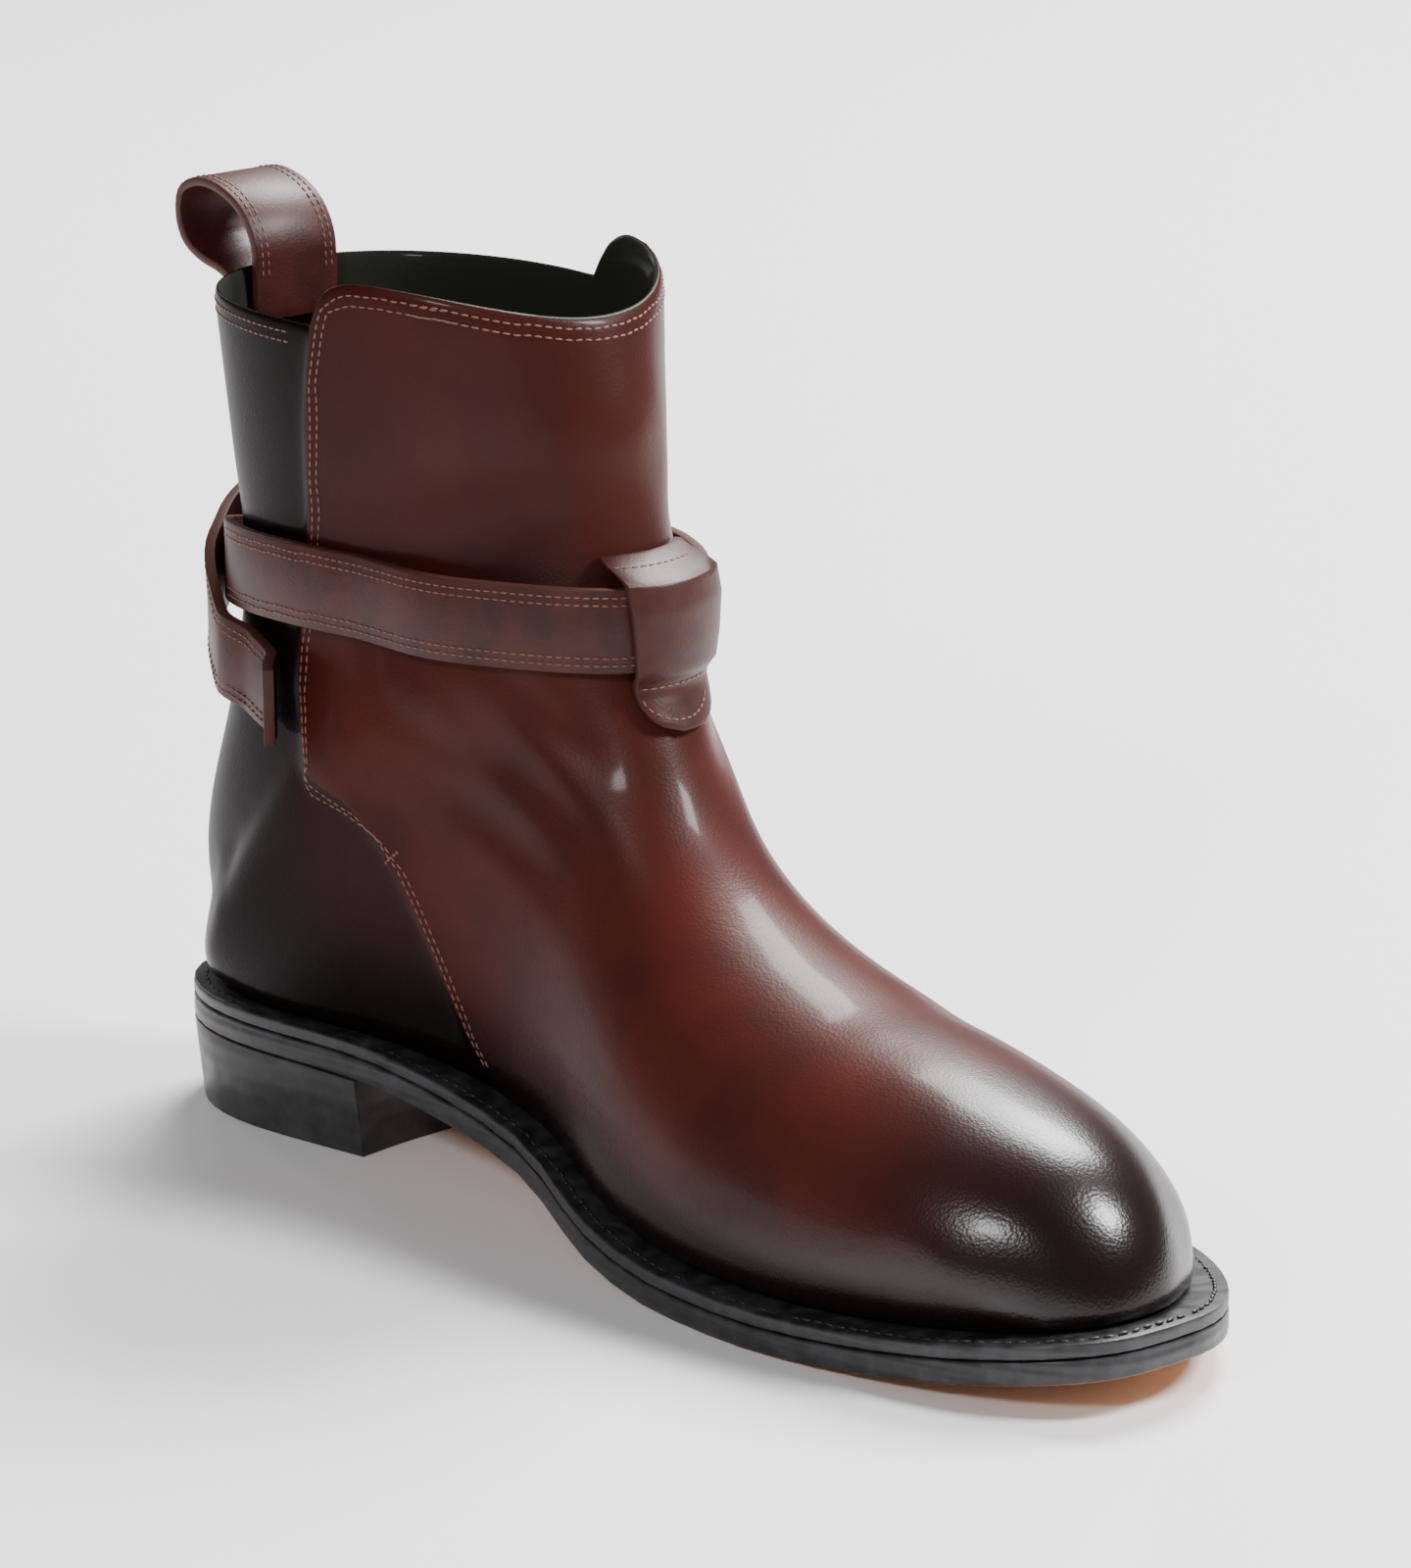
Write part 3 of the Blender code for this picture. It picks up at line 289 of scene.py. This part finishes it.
def strap_finish(name, face, edge):
    made, tree, shader = new_finish(name, **STRAP_LOOK)
    place = node(tree, PLACE, {}, {})["Object"]
    cloud = node(tree, NOISE, {}, {"Vector": place, "Scale": 1 / STRAP_CLOUD, **SOFT})["Fac"]
    at_edge = node(tree, NUMBER, {"attribute_name": "edge"}, {})["Fac"]
    patchy = node(tree, RANGE, SMOOTHLY, {"Value": cloud, "From Min": 0.3, "From Max": 0.75})[0]
    cut = node(tree, RANGE, SMOOTHLY, {"Value": at_edge, "From Min": 0.55, "From Max": 0.8})[0]
    faced = node(tree, MIX, COLOURS, {SHARE: patchy, FIRST: face, SECOND: CALF_DEEP})[MIXED]
    colour = node(tree, MIX, COLOURS, {SHARE: cut, FIRST: faced, SECOND: edge})[MIXED]
    feed(tree, shader, {"Base Color": colour, "Normal": calf_grain(tree, place)})
    return made


strap_calf = strap_finish("strap calf with raw edge", linear("#3d1914"), linear("#452721"))
keeper_calf = strap_finish("keeper calf folded soft", linear("#3a1813"), linear("#33160f"))
print("finishes", strap_calf.name, keeper_calf.name)

# %% [markdown]
# ## Sole leather, thread and metal
# The welt, outsole edge and heel are leather inked black and waxed. The pressed layers still show as faint
# lines, which a wave pattern up the height draws: its bands lie 0.314 / scale apart.

# %% Inked edges
WAVE_BAND = 0.314
WELT_LAYER, HEEL_LIFT = 2.5 * MM, 4.6 * MM
WEAR_AND_SHEEN_SIZE = 5 * MM
EDGE_RELIEF = 0.10 * MM
# The second grey is for patches where the wax is rubbed off. It is made this pale partly as painted sheen,
# standing in for the grey sheen of light on the waxed edge.
INK, INK_WORN_AND_SHEEN = linear("#1a191b"), linear("#363538")
EDGE_LOOK = {"Coat_Weight": 0.08, "Coat_Roughness": 0.3, "Specular_IOR_Level": 0.4}


def edge_finish(name, layer):
    made, tree, shader = new_finish(name, **EDGE_LOOK)
    place = node(tree, PLACE, {}, {})["Object"]
    wear_and_sheen = node(tree, NOISE, {}, {"Vector": place, "Scale": 1 / WEAR_AND_SHEEN_SIZE, **FINE})["Fac"]
    lines = node(tree, WAVE, {"bands_direction": "Z", "wave_profile": "SIN"},
                 {"Vector": place, "Scale": WAVE_BAND / layer, "Distortion": 0.6, "Detail": 2.0})["Fac"]
    worn_and_sheen = node(tree, RANGE, SMOOTHLY, {"Value": wear_and_sheen, "From Min": 0.35, "From Max": 0.8})[0]
    rough = node(tree, RANGE, SMOOTHLY,
                 {"Value": wear_and_sheen, "From Min": 0.3, "From Max": 0.8, "To Min": 0.38, "To Max": 0.55})[0]
    # Paler grey in random patches: partly worn wax, partly painted sheen.
    colour = node(tree, MIX, COLOURS, {SHARE: worn_and_sheen, FIRST: INK, SECOND: INK_WORN_AND_SHEEN})[MIXED]
    height = node(tree, MATH, ADD, {0: lines, 1: wear_and_sheen})[0]
    relief = node(tree, BUMP, {}, {"Distance": EDGE_RELIEF, "Height": height})["Normal"]
    feed(tree, shader, {"Base Color": colour, "Roughness": rough, "Normal": relief})
    return made


black_edge = edge_finish("sole edge inked and waxed", WELT_LAYER)
heel_edge = edge_finish("heel lifts inked and waxed", HEEL_LIFT)
print("finishes", black_edge.name, heel_edge.name)

# %% [markdown]
# The underside stays natural tan, sanded fine. Thread is waxed linen, dull and darker than a new thread.
# The buckle is polished nickel, which keeps the default IOR and mirrors the room.

# %% Tan, thread and nickel
TAN_PALE, TAN_DEEP = linear("#b98552"), linear("#96602f")
TAN_CLOUD = 10 * MM
NAP_SIZE, NAP_DEPTH = 0.6 * MM, 0.05 * MM


def tan_finish():
    made, tree, shader = new_finish("sole leather natural tan", Roughness=0.5)
    place = node(tree, PLACE, {}, {})["Object"]
    cloud = node(tree, NOISE, {}, {"Vector": place, "Scale": 1 / TAN_CLOUD, **FINEST})["Fac"]
    nap = node(tree, NOISE, {}, {"Vector": place, "Scale": 1 / NAP_SIZE, **SOFT})["Fac"]
    colour = node(tree, MIX, COLOURS, {SHARE: cloud, FIRST: TAN_PALE, SECOND: TAN_DEEP})[MIXED]
    relief = node(tree, BUMP, {}, {"Distance": NAP_DEPTH, "Height": nap})["Normal"]
    feed(tree, shader, {"Base Color": colour, "Normal": relief})
    return made


tan = tan_finish()
thread = new_finish("linen thread dark red brown", Base_Color=linear("#6c4138"), Roughness=0.6)[0]
black_thread = new_finish("linen thread black", Base_Color=linear("#1c1b1d"), Roughness=0.5)[0]
nickel = new_finish("buckle metal polished", Base_Color=linear("#d9d7d2"), Metallic=1.0, Roughness=0.14)[0]
print("finishes", tan.name, thread.name, nickel.name)

# %% [markdown]
# ## The upper
# The front piece laps over the rear quarter along one line on each side. It is the same line as in the
# solid, written as heights and places in millimetres, so that colour and stitches can follow it.

# %% Seam line
SEAM = [(21, 74), (28, 71), (36, 67), (42, 65), (49, 62.5), (56, 59.7), (64, 56.5), (71, 53.5), (77, 49.5),
        (82, 43.5), (84, 36.5), (86, 29), (90.5, 26), (96.5, 23), (104, 20.5), (111, 20.8), (119, 22.8),
        (127, 24.5), (134, 26), (142, 28), (149, 29), (156, 31), (164, 33), (171, 34.2), (179, 37),
        (186.5, 39.5), (198, 39.5)]
SEAM_HEIGHT, SEAM_PLACE = np.array(SEAM).T * MM


def seam_x(height):
    return np.interp(height, SEAM_HEIGHT, SEAM_PLACE)


print("seam from", SEAM[0], "to", SEAM[-1])

# %% [markdown]
# New calf hardly creases, so the folds are shallow: troughs in front of and beside the ankle, where the
# boot bends, and soft ridges between them. Sculpting them by hand would work too. A table of folds, each a
# soft trough with a faint ridge on both sides, is easier to change.

# %% Folds
# Each: middle (x, height), lean in degrees from level, half length, half width, depth, in millimetres
FOLDS = [
    (98, 104, -38, 17, 4.5, 0.9),
    (90, 95, -34, 20, 4.5, 0.7),
    (104, 93, -40, 18, 4.0, -0.5),
    (82, 84, -28, 24, 5.5, 0.8),
    (68, 100, -20, 16, 4.5, 0.6),
    (72, 158, 8, 18, 6.0, 0.5),
    (52, 150, 24, 18, 7.0, 0.6),
    (118, 74, -34, 20, 7.0, 0.5),
    (6, 100, 12, 14, 6.0, 0.5),
    (172, 52, 78, 22, 9.0, 0.5),
]
RIDGE, RIDGE_AWAY, RIDGE_SHARP = 0.35, 1.6, 4


def fold_depth(points):
    """How far each point sinks, as a sum of soft troughs and ridges seen from the side."""
    depth = np.zeros(len(points))
    for middle, height, lean, half_length, half_width, deep in FOLDS:
        turn = math.radians(lean)
        across, up = points[:, 0] - middle * MM, points[:, 2] - height * MM
        along = (across * math.cos(turn) + up * math.sin(turn)) / (half_length * MM)
        aside = (up * math.cos(turn) - across * math.sin(turn)) / (half_width * MM)
        ridge = RIDGE * np.exp(-RIDGE_SHARP * (np.abs(aside) - RIDGE_AWAY) ** 2)
        depth += deep * MM * np.exp(-along**2 - aside**2) * (1.0 - ridge)
    return depth


print("folds", len(FOLDS))

# %% [markdown]
# The numbers say how far ahead of the seam a vertex lies, how much it was brushed and waxed, and whether it
# belongs to the lining or to the cut rim. A face of the shaft that looks towards the ankle is lining.

# %% Numbers of the upper
ANKLE_X = 36 * MM
SHAFT_LOW = 90 * MM
RIM_LOW = 176 * MM
# Height of the welt's top along the boot: (x, height) in millimetres
WELT_LINE = [(-34, 27.6), (60, 23), (150, 9.5), (190, 9), (260, 17)]


def inward_face(points, normals):
    return (points[:, 0] - ANKLE_X) * normals[:, 0] + points[:, 1] * normals[:, 1] < 0.0


def upper_numbers(piece):
    points, normals = vertex_rows(piece, "co"), vertex_rows(piece, "normal")
    x, z = points[:, 0], points[:, 2]
    rise = z - np.interp(x, *(np.array(WELT_LINE).T * MM))
    ahead = (x - seam_x(z)) / MM
    toe = step(x, 184 * MM, 246 * MM)
    edge = 1.0 - step(rise, 4 * MM, 30 * MM)
    burnt = 0.95 * np.maximum(toe, edge)
    by_seam = 1.0 - step(ahead, 0.0, 26.0)
    waist = step(z, 34 * MM, 62 * MM) * (1.0 - step(z, 96 * MM, 150 * MM)) * step(x, 5 * MM, 50 * MM)
    number_layer(piece, "ahead", ahead)
    number_layer(piece, "burnt", burnt)
    number_layer(piece, "shine", 0.015 + step(ahead, -4.0, 70.0) * (0.09 + 0.2 * burnt))
    number_layer(piece, "deep", 0.55 * step(z, 95 * MM, 150 * MM) + 0.35 * by_seam)
    number_layer(piece, "dark", 1.0 - 0.75 * waist)
    number_layer(piece, "lining", (z > SHAFT_LOW) & inward_face(points, normals))
    number_layer(piece, "rim", step(normals[:, 2], 0.55, 0.85) * (z > RIM_LOW))
    print("burnt share", round(float(burnt.mean()), 2))


# %% [markdown]
# Subdivision rounds the wall. The step of the lapped front piece stays crisp, because its two columns stand
# a millimetre apart. Then every vertex sinks by its fold. Both faces of the wall move the same way, so the
# wall keeps its thickness.

# %% Upper, finer and creased
ROUNDS = 2


def make_upper():
    piece = copy_node("upper", "upper_calf")
    apply_modifier(piece, "SUBSURF", levels=ROUNDS, render_levels=ROUNDS)
    points, normals = vertex_rows(piece, "co"), vertex_rows(piece, "normal")
    outward = normals * np.where(inward_face(points, normals), -1.0, 1.0)[:, None]
    moved = points - outward * fold_depth(points)[:, None]
    piece.data.vertices.foreach_set("co", moved.ravel())
    piece.data.update()
    select(piece)
    bpy.ops.object.shade_smooth()
    upper_numbers(piece)
    piece.data.materials.append(calf)
    settle(piece, "burgundy_calf", "upper")
    return piece


upper = make_upper()

# %% [markdown]
# ## Straps, keeper and pull loop
# The edges of a cut strap are only just rounded, the keeper's folded edge a little more. A number at each
# vertex says how far its face looks along the strap's edge: up on the straps, sideways on the other two.

# %% Straps with raw edges
UP, SIDEWAYS = (0.0, 0.0, 1.0), (0.0, 1.0, 0.0)
STRAP_EDGE, KEEPER_EDGE = 0.35 * MM, 0.6 * MM


def make_strap(node_name, name, finish, width, direction):
    piece = copy_node(node_name, name)
    soften(piece, width)
    number_layer(piece, "edge", np.abs(vertex_rows(piece, "normal") @ np.array(direction)))
    piece.data.materials.append(finish)
    settle(piece, "burgundy_calf", node_name)
    return piece


long_strap = make_strap("strap_long", "strap_long_calf", strap_calf, STRAP_EDGE, UP)
short_strap = make_strap("strap_short", "strap_short_calf", strap_calf, STRAP_EDGE, UP)
keeper = make_strap("keeper_loop", "keeper_calf", keeper_calf, KEEPER_EDGE, SIDEWAYS)
loop = make_strap("pull_loop", "pull_loop_calf", strap_calf, STRAP_EDGE, SIDEWAYS)

# %% [markdown]
# ## Sole pieces
# The welt is flat and shows its stitching, the outsole lies under it, and the heel is a stack of lifts.
# Only faces that look down stay tan: the edge of a sole is inked right round to its lower corner.

# %% Welt, outsole, heel and insole
SOLE_EDGE, INSOLE_EDGE = 0.5 * MM, 0.3 * MM
LOOKS_DOWN = -0.8


def make_sole_piece(node_name, name, finish, width):
    piece = copy_node(node_name, name)
    soften(piece, width)
    piece.data.materials.append(finish)
    return piece


welt = make_sole_piece("welt", "welt_black", black_edge, SOLE_EDGE)
settle(welt, "black_edge", "welt")
outsole = make_sole_piece("outsole", "outsole_black_and_tan", black_edge, SOLE_EDGE)
outsole.data.materials.append(tan)
for face in outsole.data.polygons:
    face.material_index = int(face.normal.z < LOOKS_DOWN)
settle(outsole, "black_edge", "outsole")
heel = make_sole_piece("heel_stack", "heel_lifts", heel_edge, SOLE_EDGE)
settle(heel, "black_edge", "heel_stack")
insole = make_sole_piece("insole", "insole_leather", tan, INSOLE_EDGE)
settle(insole, "tan_leather", "insole")

# %% [markdown]
# ## Buckle
# The frame and the prong are bent from round wire, which the solids have already, so smooth shading is all
# that they need.

# %% Buckle
for part in ("buckle_frame", "buckle_prong"):
    metal = copy_node(part, part + "_polished")
    select(metal)
    bpy.ops.object.shade_smooth()
    metal.data.materials.append(nickel)
    settle(metal, "polished_metal", part)

# %% [markdown]
# ## Stitching
# Every row is one bead, repeated and bent along a line. The line is laid on the leather by looking at it
# from outside, so the beads sit in the surface as pulled thread does.

# %% A row of stitches
LINE_STEP = 1.2 * MM
BEAD_LENGTH = 0.8
THREAD, FINE_THREAD, WELT_THREAD = 0.5 * MM, 0.45 * MM, 0.9 * MM


def even_line(places):
    places = np.array([tuple(place) for place in places])
    length = np.concatenate([[0], np.cumsum(np.linalg.norm(np.diff(places, axis=0), axis=1))])
    at = np.linspace(0, length[-1], max(2, int(length[-1] / LINE_STEP)))
    return np.stack([np.interp(at, length, places[:, axis]) for axis in range(3)], 1)


def line_object(name, line):
    curve = bpy.data.curves.new(name, "CURVE")
    curve.dimensions = "3D"
    spline = curve.splines.new("POLY")
    spline.points.add(len(line) - 1)
    for point, place in zip(spline.points, line):
        point.co = (*place, 1.0)
    path = bpy.data.objects.new(name, curve)
    bpy.context.collection.objects.link(path)
    return path


def stitch_row(name, places, pitch, thick, finish):
    """Beads of thread, one each pitch, along a line of places."""
    line = even_line([place for place in places if place])
    run = float(np.linalg.norm(np.diff(line, axis=0), axis=1).sum())
    path = line_object(name + "_line", line)
    bpy.ops.object.select_all(action="DESELECT")
    bpy.ops.mesh.primitive_uv_sphere_add(segments=6, ring_count=4, radius=1.0, location=(0, 0, 0))
    bead = bpy.context.object
    bead.name = name
    bead.data.transform(Matrix.Rotation(math.radians(90), 4, "Y"))
    bead.data.transform(Matrix.Diagonal((BEAD_LENGTH * pitch / 2, thick / 2, thick / 2, 1.0)))
    bead.data.transform(Matrix.Translation((pitch / 2, 0, 0)))
    apply_modifier(bead, "ARRAY", fit_type="FIXED_COUNT", count=max(1, int(run / pitch)),
                   use_relative_offset=False, use_constant_offset=True,
                   constant_offset_displace=(pitch, 0.0, 0.0))
    apply_modifier(bead, "CURVE", object=path, deform_axis="POS_X")
    bpy.data.objects.remove(path)
    select(bead)
    bpy.ops.object.shade_smooth()
    bead.data.materials.append(finish)
    return bead


def join(pieces, name, slot):
    bpy.ops.object.select_all(action="DESELECT")
    for piece in pieces:
        piece.select_set(True)
    bpy.context.view_layer.objects.active = pieces[0]
    if len(pieces) > 1:
        bpy.ops.object.join()
    whole = bpy.context.object
    whole.name = name
    settle(whole, slot)


print("thread in mm", THREAD / MM, FINE_THREAD / MM, WELT_THREAD / MM)

# %% [markdown]
# A place on the leather is found by looking at the piece along a straight line from outside, and taking the
# first spot that is met. The thread's middle lies just above it.

# %% Looking at a piece
LIFT = 0.05 * MM
FAR = 0.2
SCAN = 0.4 * MM


def tree_of(piece):
    corners = [tuple(vertex.co) for vertex in piece.data.vertices]
    return BVHTree.FromPolygons(corners, [tuple(face.vertices) for face in piece.data.polygons])


def seen(tree, start, direction, reach=1.0):
    spot, normal, _, _ = tree.ray_cast(Vector(start), Vector(direction), reach)
    return spot + normal * LIFT if spot else None


def from_turn(turn):
    """The level direction at a turn in degrees from the toe's, seen from above."""
    return Vector((math.cos(math.radians(turn)), math.sin(math.radians(turn)), 0))


def highest(heights, met):
    """The first of the falling heights at which the piece is met, or the last one."""
    return next((z for z in heights if met(z)), heights[-1])


upper_tree = tree_of(upper)
print("toe seen at", seen(upper_tree, (0.5, 0.0, 0.03), (-1, 0, 0)))

# %% [markdown]
# The seam has two rows on the front piece, close to its edge. They turn with the flap's rounded corner and
# go on along its top edge to the front.

# %% Rows along the seam
PITCH = 2.2 * MM
ROW_GAP = 2.2 * MM
EDGE_GAP = 2.0 * MM
RIM_TOP = 201 * MM
CORNER = 9 * MM


def shaft_spot(x, z, side):
    return seen(upper_tree, (x, side * FAR, z), (0, -side, 0))


def seam_row(side, inset):
    places = []
    for z in np.arange(28 * MM, 187 * MM, 2 * MM):
        slope = (seam_x(z + MM) - seam_x(z - MM)) / (2 * MM)
        lean = math.sqrt(1 + slope * slope)
        places.append(shaft_spot(seam_x(z - inset * slope / lean) + inset / lean, z, side))
    corner = places[-1]
    for x in np.arange(corner.x + 1.5 * MM, 74 * MM, 2 * MM):
        drop = max(0.0, 1.0 - (x - corner.x) / CORNER) ** 2
        top = highest(np.arange(RIM_TOP, RIM_LOW, -SCAN), lambda z: shaft_spot(x, z, side))
        z = (top - inset) * (1.0 - drop) + min(top - inset, corner.z + 3 * MM) * drop
        places.append(shaft_spot(x, z, side))
    return places


stitches = []
for side in (-1, 1):
    for count in range(2):
        places = seam_row(side, EDGE_GAP + count * ROW_GAP)
        stitches.append(stitch_row(f"seam_{side}_{count}", places, PITCH, THREAD, thread))
print("seam rows", len(stitches))

# %% [markdown]
# The collar has two rows as well, one pair at the front and one round the back. Where the seam starts to
# turn, on the inner side, a short bar of close stitches holds the end of the lap.

# %% Rows along the collar, and the bar
BACK_TOP = 185 * MM
COLLAR_LOW = 180 * MM


def ring_spot(turn, z, reach=1.0):
    out = from_turn(turn)
    return seen(upper_tree, Vector((ANKLE_X, 0, z)) + out * FAR, -out, reach)


def top_of(turn):
    return highest(np.arange(RIM_TOP, COLLAR_LOW, -SCAN), lambda z: ring_spot(turn, z, FAR - 5 * MM))


for count in range(2):
    inset = EDGE_GAP + count * ROW_GAP
    front = [ring_spot(turn, top_of(turn) - inset) for turn in np.arange(-50, 51, 2.5)]
    back = [ring_spot(turn, BACK_TOP - inset) for turn in np.arange(97, 264, 3.0)]
    stitches.append(stitch_row(f"top_front_{count}", front, PITCH, THREAD, thread))
    stitches.append(stitch_row(f"top_back_{count}", back, PITCH, THREAD, thread))
bar = [shaft_spot(x * MM, z * MM, -1) for x, z in ((52, 70.5), (54.5, 72.5), (57, 74.5))]
stitches.append(stitch_row("bar_tack", bar, 1.2 * MM, 0.9 * MM, thread))
join(stitches, "upper_stitches", "burgundy_calf")

# %% [markdown]
# The straps are sewn along both edges in two rows, because they are two leathers laid back to back. At each
# turn round the ankle the strap is scanned upwards, which finds its lower and upper edge.

# %% Rows along the straps
STRAP_PITCH = 2.0 * MM
STRAP_GAP = 1.6 * MM
STRAP_INSET = 1.5 * MM
FULL_SCAN, SHORTEST = 30, 4
LEVEL = 127.4 * MM


def strap_scan(tree, turn, low, high):
    out = from_turn(turn)
    start = Vector((ANKLE_X, 0, 0)) + out * FAR
    found = [seen(tree, start + Vector((0, 0, z)), -out, FAR - 20 * MM) for z in np.arange(low, high, SCAN)]
    return [spot for spot in found if spot]


def strap_rows(piece, name, turns, low, high):
    tree = tree_of(piece)
    scans = [strap_scan(tree, turn, low, high) for turn in turns]
    scans = [scan for scan in scans if len(scan) >= FULL_SCAN]
    rows = []
    for edge in (0, 1):
        for count in range(2):
            inset = int(round((STRAP_INSET + count * STRAP_GAP) / SCAN))
            places = [scan[-1 - inset] if edge else scan[inset] for scan in scans]
            if len(places) >= SHORTEST:
                rows.append(stitch_row(f"{name}_{edge}_{count}", places, STRAP_PITCH, FINE_THREAD, thread))
    return rows


rows = strap_rows(long_strap, "long", np.arange(212, 478, 2.5), LEVEL - 14 * MM, LEVEL + 14 * MM)
rows += strap_rows(long_strap, "long_low", np.arange(113, 150, 2.5), 88 * MM, 119 * MM)
rows += strap_rows(short_strap, "short", np.arange(146, 246, 2.5), 90 * MM, 142 * MM)
join(rows, "strap_stitches", "burgundy_calf")

# %% [markdown]
# The pull loop is sewn along both edges too. It is looked at from all round its own middle.

# %% Rows along the pull loop
LOOP_X, LOOP_Z, LOOP_HALF = -34 * MM, 191 * MM, 11 * MM
loop_tree = tree_of(loop)
loop_rows = []
for side in (-1, 1):
    for count in range(2):
        y = side * (LOOP_HALF - STRAP_GAP - count * STRAP_GAP)
        places = []
        for turn in np.radians(np.arange(-25, 215, 6)):
            out = Vector((math.cos(turn), 0, math.sin(turn)))
            places.append(seen(loop_tree, Vector((LOOP_X, y, LOOP_Z)) + out * 0.1, -out))
        loop_rows.append(stitch_row(f"loop_{side}_{count}", places, STRAP_PITCH, FINE_THREAD, thread))
join(loop_rows, "loop_stitches", "burgundy_calf")

# %% [markdown]
# The keeper is sewn to the shaft along its top, across under the strap, and round its tab.

# %% Rows on the keeper
KEEPER_TOP, KEEPER_CROSS = 139.8 * MM, 115.0 * MM
TAB_MIDDLE, TAB_WIDE, TAB_DROP = 113.0 * MM, 9.4 * MM, 5.0 * MM
keeper_tree = tree_of(keeper)


def keeper_spot(y, z):
    return seen(keeper_tree, (0.3, y, z), (-1, 0, 0))


top = [keeper_spot(y * MM, KEEPER_TOP) for y in np.arange(-11, 11.5, 1.0)]
cross = [keeper_spot(y * MM, KEEPER_CROSS) for y in np.arange(-10.5, 11, 1.0)]
tab = [keeper_spot(TAB_WIDE * math.sin(turn), TAB_MIDDLE - TAB_DROP * math.cos(turn))
       for turn in np.radians(np.arange(-90, 91, 8))]
keeper_rows = [stitch_row(label, places, STRAP_PITCH, FINE_THREAD, thread)
               for label, places in (("keeper_top", top), ("keeper_cross", cross), ("keeper_tab", tab))]
join(keeper_rows, "keeper_stitches", "burgundy_calf")

# %% [markdown]
# The welt's stitches lie about three millimetres in from its edge, all round. The edge is found by looking
# down on the welt from above, further and further out, until it is missed.

# %% Welt stitches
WELT_INSET, WELT_PITCH, WELT_LIFT = 2.6 * MM, 3.0 * MM, 0.1 * MM
WELT_MIDDLE, WELT_STRETCH = Vector((0.12, 0.0, 0.08)), 2.6
DOWN = Vector((0, 0, -1))
welt_tree = tree_of(welt)


def welt_edge(turn):
    """The outermost spot on top of the welt in one direction from its middle."""
    out = Vector((math.cos(turn) * WELT_STRETCH, math.sin(turn), 0)).normalized()
    hits = [welt_tree.ray_cast(WELT_MIDDLE + out * reach, DOWN)[0] for reach in np.arange(0.03, 0.2, SCAN)]
    return tuple([hit for hit in hits if hit][-1])


edge = np.array([welt_edge(turn) for turn in np.radians(np.arange(0, 360, 1.5))])
ahead = np.roll(edge, -2, 0) - np.roll(edge, 2, 0)
ahead = ahead / np.linalg.norm(ahead, axis=1, keepdims=True)
inward = np.stack([-ahead[:, 1], ahead[:, 0], 0 * ahead[:, 0]], 1)
ring = edge + inward * WELT_INSET + np.array((0, 0, WELT_LIFT))
ring = [Vector(place) for place in np.vstack([ring, ring[:1]])]
join([stitch_row("welt_row", ring, WELT_PITCH, WELT_THREAD, black_thread)], "welt_stitches", "black_edge")

# %% [markdown]
# ## Stage
# The boot stands on a pale, slightly glossy table that runs on into a pale backdrop. Its surface lies just
# under the soles.

# %% Floor
TABLE_DROP = 0.05 * MM
bpy.ops.mesh.primitive_plane_add(size=8.0, location=(0, 0, -TABLE_DROP))
floor = bpy.context.object
floor.name = "floor"
table = new_finish("table pale and glossy", Base_Color=linear("#f5f3f4"), Roughness=0.25)[0]
floor.data.materials.append(table)
print("floor at", floor.location.z)

# %% [markdown]
# A photographer lights dark leather with few lamps, because each one shows in the wax. The key lamp makes
# the bright spot on the toe, the front lamp the one beside it, and the left lamp a thin line down the back.
# The wide one behind lights only the backdrop.

# %% Lamps
CENTRE = (0.10, 0.0, 0.09)


def soft_lamp(name, place, aim, size, power):
    lamp = bpy.data.lights.new(name, "AREA")
    lamp.shape = "RECTANGLE"
    lamp.size, lamp.size_y = size
    lamp.energy = power
    made = bpy.data.objects.new(name, lamp)
    bpy.context.collection.objects.link(made)
    made.location = place
    made.rotation_mode = "QUATERNION"
    made.rotation_quaternion = (Vector(aim) - Vector(place)).to_track_quat("-Z", "Y")


soft_lamp("key", (1.05, 0.75, 1.25), CENTRE, (0.42, 0.42), 52.0)
soft_lamp("front", (0.62, -1.45, 1.1), CENTRE, (0.3, 0.3), 17.0)
soft_lamp("left", (-1.5, 0.3, 0.7), CENTRE, (0.2, 0.7), 3.0)
soft_lamp("back", (-0.7, 1.7, 2.2), (-0.5, 1.0, 0.0), (1.2, 1.2), 240.0)
world = bpy.data.worlds.new("studio")
bpy.context.scene.world = world
world.use_nodes = True
room = world.node_tree.nodes["Background"].inputs
room["Color"].default_value = linear("#e4e1e3")
room["Strength"].default_value = 0.26

# %% [markdown]
# ## Camera
# It stands where the photographer stood, so the perspective is the same, and is turned to frame one boot.
# Its directions were fitted to the photograph, and then turned a little to put the boot in the middle.

# %% Camera
VIEW = Vector((-0.76529, 0.58935, -0.25882))
RIGHT = Vector((0.61491, 0.78826, -0.02326))
ABOVE = Vector((-0.19031, 0.17695, 0.96565))
TURN_RIGHT, TURN_DOWN = 0.0513, 0.0062
data = bpy.data.cameras.new("photo")
data.lens = 172.0
data.clip_end = 30.0
camera = bpy.data.objects.new("photo", data)
bpy.context.collection.objects.link(camera)
camera.location = (1.2547, -0.9760, 0.5079)
ahead = (VIEW + RIGHT * TURN_RIGHT - ABOVE * TURN_DOWN).normalized()
across = ahead.cross(ABOVE).normalized()
camera.rotation_mode = "QUATERNION"
camera.rotation_quaternion = Matrix((across, across.cross(ahead), -ahead)).transposed().to_quaternion()
bpy.context.scene.camera = camera
print("camera", [round(c, 3) for c in camera.location], "lens", data.lens)
